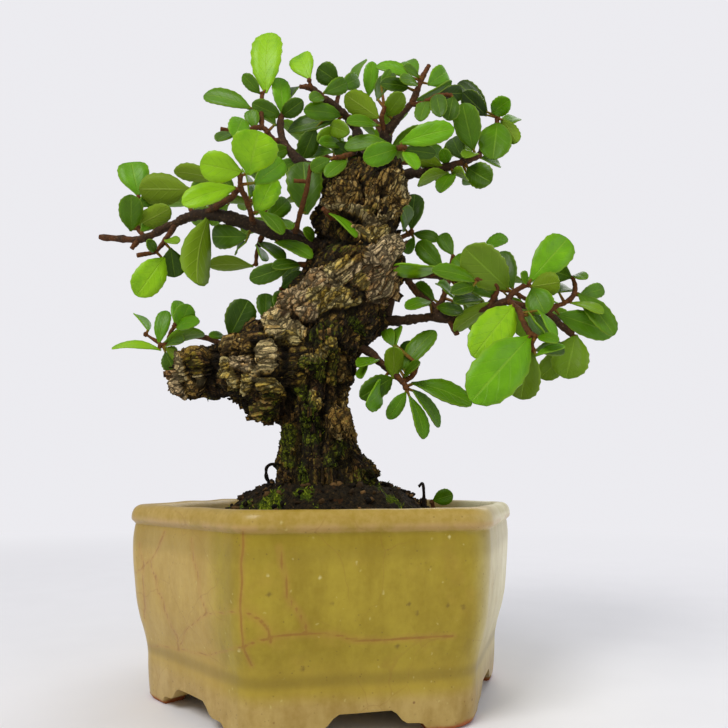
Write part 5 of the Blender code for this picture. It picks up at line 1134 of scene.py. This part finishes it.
           (30.5, 101, 0, 1.3), (31, 103.4, 0, 1.1)),
         ((28.2, 99.8, 22, 107, 5, -3, 1, "m"), (28.3, 100.3, 15.8, 100.6, 3.2, 5, 1, "l"),
          (32, 90.6, 27, 96, 1.6, 7, 1, "m"), (26, 91.5, 21, 95.7, 4.2, -4, 1, "d"),
          (31, 103.4, 28, 109, 4, -5, 1, "m"))),
        (((39.5, 90, 8, 1.5), (42, 94.2, 10, 1.3), (40.5, 96.5, 11, 1.2), (36.8, 97, 12, 1)),
         ((36.5, 96.5, 25.5, 99.5, 3.8, 3, 1, "m"), (36.5, 97.5, 31.5, 103, 5, -4, 1, "m"),
          (36, 95, 30.3, 93.5, 3.2, 5, 1, "d"), (42, 92, 34, 96.3, 4, -5, 1, "m"))),
        (((41.5, 90.4, 8, 1.6), (41, 97, 1, 1.3), (38.8, 104.5, -3, 1)),
         ((38.5, 105, 45, 108.6, 3.5, -3, 1, "b"), (40.5, 98, 47, 101.5, 5, -6, 1, "m"))),
        (((44.5, 91.5, 9, 1.8), (46, 93.5, 9, 1.6), (48.5, 95, 8, 1.4), (50.2, 95.6, 8, 1.2)),
         ((44.8, 94.5, 34, 105.5, 10, 5, 1, "o"), (46, 94.5, 43, 104.3, 6, -3, 1, "d"),
          (49.5, 96, 48.3, 98.6, 1.8, 6, 1, "m"), (50.3, 96.5, 60.8, 108, 9, -2, 1, "b"),
          (50.5, 95, 58.2, 96.3, 6, 4, -1, "o"), (51, 94.8, 54, 88, 7, 3, 1, "m"))),
        (((45, 91.3, 9, 1.8), (47.5, 89, 12, 1.6), (48, 86.5, 15, 1.5), (49.5, 83.5, 17, 1.4),
           (51.5, 82, 18, 1.2)),
         ((46, 90, 35.5, 77, 9.5, 10, 1, "l"), (49.8, 82, 35, 66, 12, 9, 1, "b"),
          (49.9, 79.5, 47, 66, 8, -6, 1, "o"), (52, 89, 56, 81.5, 1.8, 4, 1, "b"),
          (51, 88, 55, 82.5, 3, -4, 1, "d"), (49.8, 88.5, 53.5, 82, 2, 6, 1, "m"),
          (52, 82, 57, 80.5, 2.5, 6, 1, "m"))),
        (((49.9, 83.1, 17, 1.4), (50.5, 78.5, 18, 1.2)),
         ((51, 78.5, 58.5, 79, 4, -4, 1, "d"), (51, 77, 58.6, 79.6, 1.6, 3, 1, "b"))),
        (((45.4, 91.1, 9, 1.8), (49, 90, 7, 1.7), (54, 88.5, 5, 1.6), (56.5, 89.8, 4, 1.5),
           (58.5, 90.5, 4, 1.4), (61, 92, 4, 1.3), (62, 94.5, 3, 1.2), (61.5, 97.5, 2, 1.1)),
         ((61.3, 97.5, 54, 100.5, 6.5, -4, 1, "d"), (61.8, 98, 65, 97.3, 1.8, 6, 1, "m"),
          (57.5, 93.5, 60.5, 94.6, 3, -7, 1, "d"), (62.8, 92.6, 69.3, 94.6, 4, -4, 1, "m"),
          (62.5, 93.4, 71, 82.2, 5, 4, 1, "m"), (60.5, 90.8, 68.8, 88, 2, 5, 1, "y"),
          (57, 87.8, 71, 82.8, 6.5, -2, 1, "m"))),
        (((54, 88.5, 5, 1.7), (57.5, 85.5, 4, 2.1), (60.5, 82.6, 3, 1.6)),
         ((61.5, 82.5, 58.5, 71.5, 9, 2, 1, "o"), (61, 79.6, 52, 71.5, 6, -4, 1, "o"))),
    ),
    "spray_right_low": (
        (((2, 81, 2, 2.8), (9, 78.4, 4, 2.3), (12, 75.5, 5, 2), (15.5, 72.5, 6, 1.8),
           (17.5, 70.5, 7, 1.6), (18.6, 68.8, 8, 1.4)),
         ((15.5, 71.2, 15.5, 79.3, 4.8, 5, -1, "p"), (19.8, 70.2, 34.8, 65, 4.8, 3, 1, "m"),
          (18.5, 68, 14, 61.3, 3.6, 2, 1, "m"), (19.2, 67, 22.5, 56.2, 3.2, 3, 1, "m"),
          (20, 68.5, 26.7, 59.3, 2.8, -3, 1, "m"), (15, 71.5, 7, 66.5, 5.5, 6, 1, "d"),
          (11.6, 70, 9.2, 64.8, 3, 8, 1, "b"), (11.5, 76, 6.6, 74.6, 2, 8, 1, "m"),
          (8.6, 75, 7.4, 71.5, 2, 8, 1, "m"))),
        (((17.7, 70.3, 7, 1.4), (20.5, 72.5, 8, 1.2), (21.5, 75, 9, 1.1)),
         ((15.5, 79.5, 13.5, 84, 3.5, -5, 1, "m"), (16, 79.5, 16.8, 84.3, 2.8, -6, 1, "m"),
          (16.6, 73.5, 20, 80.8, 4, -4, 1, "d"), (17.6, 73.4, 26, 83.5, 4.8, -1, 1, "m"),
          (18, 71.5, 22, 75.4, 1.8, 6, 1, "d"))),
    ),
    "seedling": (
        (((25.2, 36.4, -6, 1.3), (24.4, 41.2, -6, 1.1)),
         ((24.7, 41.5, 29.5, 42.9, 3.8, 2, 1, "m"),)),
    ),
    "dead_twig": (
        (((22.5, 36.6, 2, 1.1), (22.5, 45.0, 2, 0.8), (21.3, 44.8, 2, 0.8)),
         ()),
    ),
}
# Sprays that the front doesn't show: each twig's route, then how many leaves, how long in mm, and from
# what share of the route on
BACK_SPRAYS = {
    "spray_back_left": (
        (((2, 103, -4, 3.2), (-6, 107, -14, 2.6), (-14, 113, -20, 2.2), (-21, 118, -24, 1.8),
          (-28, 119, -27, 1.4), (-34, 117, -28, 1.2)), 12, 11, 0.34),
        (((-14, 113, -20, 1.8), (-16, 119, -27, 1.4), (-18, 122, -34, 1.1)), 4, 10, 0.3),
    ),
    "spray_back_right": (
        (((9, 100, -4, 3.2), (17, 98, -14, 2.6), (27, 98, -20, 2.2), (36, 95, -23, 1.8),
          (45, 94, -24, 1.4), (52, 90, -24, 1.2)), 12, 11, 0.36),
        (((27, 98, -20, 1.8), (31, 93, -28, 1.4), (34, 91, -36, 1.1)), 4, 10, 0.3),
    ),
    "spray_back_crown": (
        (((10, 118, -5, 3.4), (10, 124, -14, 2.8), (12, 129, -20, 2.4), (14, 133, -24, 1.9),
          (15, 137, -27, 1.4)), 11, 11, 0.36),
        (((10, 124, -14, 2), (2, 129, -20, 1.6), (-5, 132, -24, 1.2)), 7, 11, 0.3),
        (((12, 129, -20, 1.9), (21, 129, -24, 1.5), (29, 130, -26, 1.2)), 7, 11, 0.3),
    ),
}
ROOT_STAGGER = 0.017


def seen(x, z, depth=0.0):
    """The place that shows at (x, z) on the front plane and lies depth in front of it."""
    flat = Vector((x, 0.0, z))
    return (flat + (EYE - flat) * (depth / EYE_DISTANCE)) * MM


def rooted(route, earlier):
    """The route with its first point moved onto the nearest earlier limb of its spray."""
    start = Vector(route[0][:3])
    best = None
    for other in earlier:
        for near, far in zip(other, other[1:]):
            a, b = Vector(near[:3]), Vector(far[:3])
            share = min(max((start - a).dot(b - a) / (b - a).length_squared, 0.05), 0.95)
            spot = a.lerp(b, share)
            if best is None or (spot - start).length < (best - start).length:
                best = spot
    return ((*best, route[0][3]), *route[1:]) if earlier else route


def flowing(points, steps):
    """Points on a smooth run through the given ones, so many steps to each."""
    ends = [tuple(2 * a - b for a, b in zip(points[0], points[1])), *points,
            tuple(2 * a - b for a, b in zip(points[-1], points[-2]))]
    run = []
    for p0, p1, p2, p3 in zip(ends, ends[1:], ends[2:], ends[3:]):
        for step in range(steps):
            t = step / steps
            spot = []
            for a, b, c, d in zip(p0, p1, p2, p3):
                bend = 2 * a - 5 * b + 4 * c - d + t * (3 * (b - c) + d - a)
                spot.append(b + 0.5 * t * (c - a + t * bend))
            run.append(tuple(spot))
    return run + [tuple(points[-1])]


def add_twig(bm, age, points, sides, ages):
    """A round closed tube through (x, y, z in metres, radius in mm), as old as ages(radius) says."""
    # Blender's round bevel makes the tube; its sides are 2 x (resolution + 2)
    curve = bpy.data.curves.new("twig", "CURVE")
    curve.dimensions = "3D"
    curve.bevel_depth = MM
    curve.bevel_resolution = sides // 2 - 2
    curve.use_fill_caps = True
    line = curve.splines.new("POLY")
    line.points.add(len(points) - 1)
    for point, (x, y, z, radius) in zip(line.points, points):
        point.co = (x, y, z, 1)
        point.radius = radius
    item = bpy.data.objects.new("twig", curve)
    bpy.context.scene.collection.objects.link(item)
    mesh = bpy.data.meshes.new_from_object(item.evaluated_get(bpy.context.evaluated_depsgraph_get()))
    bpy.data.objects.remove(item)
    before = len(bm.verts)
    bm.from_mesh(mesh)
    bpy.data.meshes.remove(mesh)
    bm.verts.ensure_lookup_table()
    tree = KDTree(len(points))
    for index, point in enumerate(points):
        tree.insert(point[:3], index)
    tree.balance()
    for v in bm.verts[before:]:
        radius = points[tree.find(v.co)[1]][3]
        v[age] = ages(radius)


def old_or_new(radius):
    return min(max((1.5 - radius) / 0.9, 0.0), 1.0) * 0.5


def wood_of(routes):
    """A spray's twigs as one mesh, with its age on each vertex."""
    bm = bmesh.new()
    age = bm.verts.layers.float.new("age")
    for number, route in enumerate(routes):
        points = [(*(seen(x, z, depth)), thick / 2) for x, z, depth, thick in route]
        steps = 9 if len(route) > 2 else 5
        smooth = []
        for x, y, z, radius in flowing(points, steps):
            spot = Vector((x, y, z))
            wander = Vector([noise.noise(spot * 170 + Vector((k * 7, number, 0))) for k in range(3)])
            spot += wander * min(radius, 1.0) * 0.34 * MM
            knob = 0.94 + 0.2 * noise.noise(spot * 520) + 0.2 * noise.noise(spot * 1400)
            smooth.append((*spot, radius * knob))
        add_twig(bm, age, smooth, 10 if route[0][3] > 2.5 else 8, old_or_new)
    return bm, age


def roughened(bm, by):
    """Lenticels and ridges of bark on the twigs."""
    bm.normal_update()
    lifts = [(v, v.normal * noise.noise(v.co / MM * 1.1) * by * MM) for v in bm.verts]
    for v, lift in lifts:
        v.co += lift


def twig_paint(flow, place):
    age = flow.mark("age")
    grit = place.clouds(1.8, 4.0, 0.7)
    colour = (age + (place.clouds(0.35, 3.0) - 0.5) * 0.45).ramp(
        (0.0, 46, 33, 20), (0.28, 66, 44, 24), (0.5, 102, 58, 22), (0.75, 124, 84, 22), (1.0, 112, 132, 24))
    colour = (grit.rising(0.56, 0.72) * 0.45).over(colour, 150, 122, 84)
    colour = (grit.rising(0.5, 0.3) * 0.7).over(colour, 22, 13, 6)
    height = grit + place.clouds(0.7, 2.0) * 0.6
    return {"Base Color": colour, "Roughness": grit * 0.2 + 0.7, "Normal": flow.bump(height, 0.35)}


twig_finish = finish("twig bark", twig_paint, Specular_IOR_Level=0.25)


# Leaves: thick, leathery, evergreen blades, widest past the middle, with a blunt tip, shallow rounded
# teeth and a faint rib. New ones are yellow-green and old ones dark, and each leaf is also painted lighter
# or darker as painted light and shade; the lower face is paler and dull. Each grows from its twig on a
# short stalk and lies on the imported blade that it stands for.
BLADE_OUTLINE = ((0.0, 0.10), (0.06, 0.20), (0.16, 0.47), (0.3, 0.79), (0.45, 0.96), (0.6, 1.0), (0.74, 0.98),
                 (0.86, 0.83), (0.94, 0.57), (0.985, 0.28), (1.0, 0.12))
BLADE_ROWS = 20
BLADE_COLUMNS = 4
BLADE_FOLD = 0.16
BLADE_ARCH = 0.07
BLADE_THICKNESS = 0.32
STALK_RADIUS = 0.4
LEAST_BREADTH = 0.42
# How far a tip may be swung to the front or back, in mm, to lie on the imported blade
SWINGS = [1.7 * step for step in range(-6, 7)]
WORST_MISFIT = 2.6
LEAF_TURN = 144
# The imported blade's own stations, for finding it: share of its length, share of its width
PACKED_STATIONS = ((0.4, 0.84), (0.8, 0.92))
# Tone from dark to bright, partly the leaf's age and partly painted light and shade, and how olive
LEAF_TONES = {"v": (0.1, 0.0), "d": (0.3, 0.0), "m": (0.56, 0.0), "b": (0.8, 0.0), "l": (0.97, 0.1),
              "o": (0.56, 0.5), "y": (0.8, 0.6), "p": (0.7, 0.45)}


class Leaf:
    """One blade on its stalk: where it is rooted, its foot, its tip and how it faces."""

    def __init__(self, root, foot, tip, breadth, upper):
        self.root = root
        self.foot = foot
        self.tip = tip
        self.breadth = breadth
        self.along = (tip - foot).normalized()
        self.across = self.along.cross(upper).normalized()
        self.up = self.across.cross(self.along)
        self.length = (tip - foot).length

    def spine(self, share):
        return self.foot.lerp(self.tip, share) + self.up * BLADE_ARCH * self.length * 4 * share * (1 - share)

    def misfit(self, solid):
        """How far the blade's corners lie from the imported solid's, in mm."""
        corners = [self.tip]
        for share, width in PACKED_STATIONS:
            half = self.breadth * width / 2 * MM
            for side in (-1, 1):
                corners.append(self.spine(share) + self.across * side * half + self.up * BLADE_FOLD * half)
        return sum(min((solid.find(corner)[0] - corner).length / MM, 1.0) for corner in corners)


def best_fit(candidates, solid):
    """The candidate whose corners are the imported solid's, or none where that blade was left out."""
    found = min(candidates, key=lambda leaf: leaf.misfit(solid))
    return found if found.misfit(solid) < WORST_MISFIT else None


def corners_of(node):
    """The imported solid's corners, measured from the pot's axis, to search among."""
    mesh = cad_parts[node].data
    tree = KDTree(len(mesh.vertices))
    for v in mesh.vertices:
        tree.insert(v.co - AXIS, v.index)
    tree.balance()
    return tree


def nearest_on_route(route, x, z, index):
    """The point of a route that shows closest to (x, z), with its depth, a little apart for each leaf."""
    best = None
    for (x0, z0, d0, _), (x1, z1, d1, _) in zip(route, route[1:]):
        run, rise = x1 - x0, z1 - z0
        share = ((x - x0) * run + (z - z0) * rise) / (run * run + rise * rise)
        share = min(max(share, 0.03 + ROOT_STAGGER * index), 0.97 - ROOT_STAGGER * index)
        near = (x0 + run * share, z0 + rise * share, d0 + (d1 - d0) * share)
        gap = math.hypot(near[0] - x, near[1] - z)
        if best is None or gap < best[0]:
            best = (gap, near)
    return best[1]


def read_leaf(route, reading, index, swing, way):
    """A leaf from the front's reading, its tip swung by so many mm to the front, rolled one way."""
    foot_x, foot_z, tip_x, tip_z, width, lean, face, _ = reading
    near = nearest_on_route(route, foot_x, foot_z, index)
    reach = math.hypot(foot_x - near[0], foot_z - near[1])
    toward = math.copysign(min(1.0, 0.2 * reach), lean)
    foot = seen(foot_x, foot_z, near[2] + toward)
    tip = seen(tip_x, tip_z, near[2] + toward + lean + swing)
    shown = width * (EYE_DISTANCE - near[2]) / EYE_DISTANCE
    breadth = max(shown, LEAST_BREADTH * (tip - foot).length / MM)
    along = (tip - foot).normalized()
    flat = along.cross((EYE * MM - foot).normalized()).normalized()
    facing = flat.cross(along).normalized() * face
    roll = math.acos(min(1.0, shown / breadth))
    turned = [facing * math.cos(roll) + flat * math.sin(roll) * sign for sign in (1, -1)]
    turned.sort(key=lambda normal: -normal.z)
    return Leaf(seen(*near), foot, tip, breadth, turned[way])


def sprout_leaf(places, share, turn_step, own_length, tilt, last, swing, way):
    """A leaf set on a back twig by rule."""
    spot = share * (len(places) - 1)
    piece = min(int(spot), len(places) - 2)
    root = places[piece].lerp(places[piece + 1], min(spot - piece, 0.95))
    along = (places[piece + 1] - places[piece]).normalized()
    side = along.cross(Vector((0, 0, 1))).normalized()
    over = side.cross(along)
    turn = math.radians(LEAF_TURN * turn_step + 9 * swing + 20 * way)
    out = side * math.cos(turn) + over * math.sin(turn)
    aim = (out + along * (2.5 if last else 0.75)).normalized()
    foot = root + aim * 2.2 * MM
    upper = (Vector((tilt, 0.15, 1)) - aim * aim.z).normalized()
    return Leaf(root, foot, foot + aim * own_length * MM, own_length * 0.55, upper)


def add_blade(bm, layers, leaf, tone, draw):
    """The blade as a grid, bent to the leaf's spine, outline, fold and a slight wave."""
    tone_layer, olive_layer = layers
    made = bmesh.ops.create_grid(bm, x_segments=BLADE_COLUMNS, y_segments=BLADE_ROWS, size=1.0, calc_uvs=True)
    wide_at = draw.uniform(0.88, 1.12)
    phase = draw.uniform(0, math.tau)
    wave = draw.uniform(0.02, 0.09)
    curl = draw.uniform(-0.02, 0.05)
    tooth = draw.uniform(0.015, 0.035)
    shares, widths = zip(*BLADE_OUTLINE)
    for v in made["verts"]:
        u, row = v.co.x, round((v.co.y + 1) / 2 * BLADE_ROWS)
        share = (1 - math.cos(math.pi * row / BLADE_ROWS)) / 2
        half = float(np.interp(share ** wide_at, shares, widths)) * leaf.breadth / 2 * MM
        if abs(u) > 0.99 and 3 < row < BLADE_ROWS - 1:
            half *= 1 + tooth * (1 if row % 2 else -1)
        lift = BLADE_FOLD * half * u * u + wave * half * abs(u) * math.sin(share * 8 + phase + u)
        lift -= curl * leaf.length * share * share
        v.co = leaf.spine(share) + leaf.across * u * half + leaf.up * lift
    shade, olive = LEAF_TONES[tone]
    mark_faces(made, tone_layer, shade + draw.uniform(-0.07, 0.07))
    mark_faces(made, olive_layer, olive)


def leaf_colour(flow, blend, dull):
    colour = blend.ramp((0.0, 34, 54, 0), (0.25, 54, 84, 0), (0.5, 76, 114, 0), (0.75, 88, 141, 0),
                        (0.9, 108, 166, 2), (1.0, 140, 192, 8))
    return (flow.mark("olive") * 0.75 + dull).over(colour, 126, 144, 30)


def veins(flow):
    """How far out from the rib (0 to 1), the rib itself, and the veins that leave it."""
    place = flow.node("ShaderNodeUVMap")
    out = flow.maths("ABSOLUTE", place.part(0) * 2 - 1)
    rib = out.rising(0.075, 0.02)
    ladder = flow.maths("FRACT", place.part(1) * 8 - out * 1.9)
    side = flow.maths("ABSOLUTE", ladder - 0.5).rising(0.09, 0.02) * out.rising(0.98, 0.7)
    return out, rib, side


def upper_paint(flow, place):
    out, rib, side = veins(flow)
    patch = place.clouds(0.22, 3.0, 0.6)
    colour = leaf_colour(flow, flow.mark("tone") + (patch - 0.5) * 0.34, 0.0)
    colour = (rib * 0.26 + side * 0.07).over(colour, 150, 186, 50)
    # A lighter yellow-green margin round the blade is painted rim light
    colour = (out.rising(0.84, 1.0) * 0.28).over(colour, 156, 184, 46)
    colour = (place.clouds(1.2, 3.0, 0.7).rising(0.66, 0.76) * 0.3).over(colour, 104, 84, 14)
    height = 0.6 - rib * 0.35 - side * 0.2 + place.clouds(1.1, 2.0) * 0.25
    return {"Base Color": colour, "Roughness": patch * 0.14 + 0.38, "Normal": flow.bump(height, 0.2)}


def lower_paint(flow, place):
    _, rib, side = veins(flow)
    patch = place.clouds(0.22, 3.0, 0.6)
    colour = leaf_colour(flow, flow.mark("tone") * 0.6 + 0.3 + (patch - 0.5) * 0.2, 0.25)
    colour = (rib * 0.45 + side * 0.14).over(colour, 164, 186, 74)
    height = 0.3 + rib * 0.5 + side * 0.25
    return {"Base Color": colour, "Roughness": patch * 0.1 + 0.5, "Normal": flow.bump(height, 0.25)}


leaf_finishes = [
    finish("leaf upper face", upper_paint, Coat_Weight=0.05, Coat_Roughness=0.2, Specular_IOR_Level=0.2),
    finish("leaf lower face", lower_paint, Specular_IOR_Level=0.15)]


def add_stalk(bm, age, leaf, draw):
    """The short stalk that carries the blade, and the swelling that it leaves the twig from."""
    way = leaf.spine(0.04) - leaf.root
    if way.length > 0.6 * MM:
        turned = way.to_track_quat("Z", "Y").to_matrix().to_4x4()
        made = bmesh.ops.create_cone(bm, cap_ends=False, segments=6, radius1=STALK_RADIUS * 1.1 * MM,
                                     radius2=STALK_RADIUS * 0.75 * MM, depth=way.length,
                                     matrix=Matrix.Translation(leaf.root + way / 2) @ turned)
        for v in made["verts"]:
            v[age] = 0.9 if (v.co - leaf.foot).length < way.length / 2 else 0.65
    made = bmesh.ops.create_icosphere(bm, subdivisions=1, radius=draw.uniform(0.6, 0.8) * MM,
                                      matrix=Matrix.Translation(leaf.root))
    for v in made["verts"]:
        v[age] = 0.5


def leaves_of(name, twigs, draw):
    """Every leaf of a spray with its tone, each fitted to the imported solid."""
    solid = corners_of(name)
    found = []
    for route, *rest in twigs:
        if name in BACK_SPRAYS:
            count, length, start = rest
            places = [seen(x, z, depth) for x, z, depth, _ in route]
            for index in range(count):
                share = start + (0.99 - start) * index / (count - 1)
                own_length, tilt = length * draw.uniform(0.75, 1.15), draw.uniform(-0.25, 0.25)
                tries = [sprout_leaf(places, share, index, own_length, tilt, index == count - 1, swing, way)
                         for swing in SWINGS for way in (0, 1)]
                found.append((best_fit(tries, solid), "dmmb"[index % 4]))
        else:
            for index, reading in enumerate(rest[0]):
                tries = [read_leaf(route, reading, index, swing, way) for swing in SWINGS for way in (0, 1)]
                found.append((best_fit(tries, solid), reading[7]))
    return [(leaf, tone) for leaf, tone in found if leaf]


rule_draw = random.Random(7)
for name in list(SPRAYS) + list(BACK_SPRAYS):
    twigs = []
    for route, *rest in SPRAYS[name] if name in SPRAYS else BACK_SPRAYS[name]:
        twigs.append((rooted(route, [twig[0] for twig in twigs]), *rest))
    draw = random.Random(len(name) * 31 + ord(name[-1]))
    wood, age = wood_of([twig[0] for twig in twigs])
    blades = bmesh.new()
    blades.loops.layers.uv.new("blade")
    layers = [blades.faces.layers.float.new(mark) for mark in ("tone", "olive")]
    for leaf, tone in leaves_of(name, twigs, rule_draw):
        add_stalk(wood, age, leaf, draw)
        add_blade(blades, layers, leaf, tone, draw)
    roughened(wood, 0.16)
    slot, wood_finish = ("dead_wood", bark_finish) if name == "dead_twig" else ("foliage", twig_finish)
    stand(bare_object(wood, name + "_wood"), [wood_finish], [name])
    if blades.verts:
        leafage = stand(bare_object(blades, name + "_leaves"), leaf_finishes, [name])
        thickened(leafage, "blade thickness", BLADE_THICKNESS, underside=1)
    else:
        blades.free()

# A thin root loops out of the soil and back beside the trunk's left foot
ROOT_LOOP = ((-12.6, 48.6, 3, 1.0), (-14.2, 50.2, 3, 0.9), (-15.8, 49.2, 4, 0.9), (-15.6, 46.8, 4, 0.8),
             (-14.4, 44.6, 3, 0.9))
root, age = wood_of([ROOT_LOOP])
roughened(root, 0.2)
stand(bare_object(root, "root_loop"), [bark_finish])
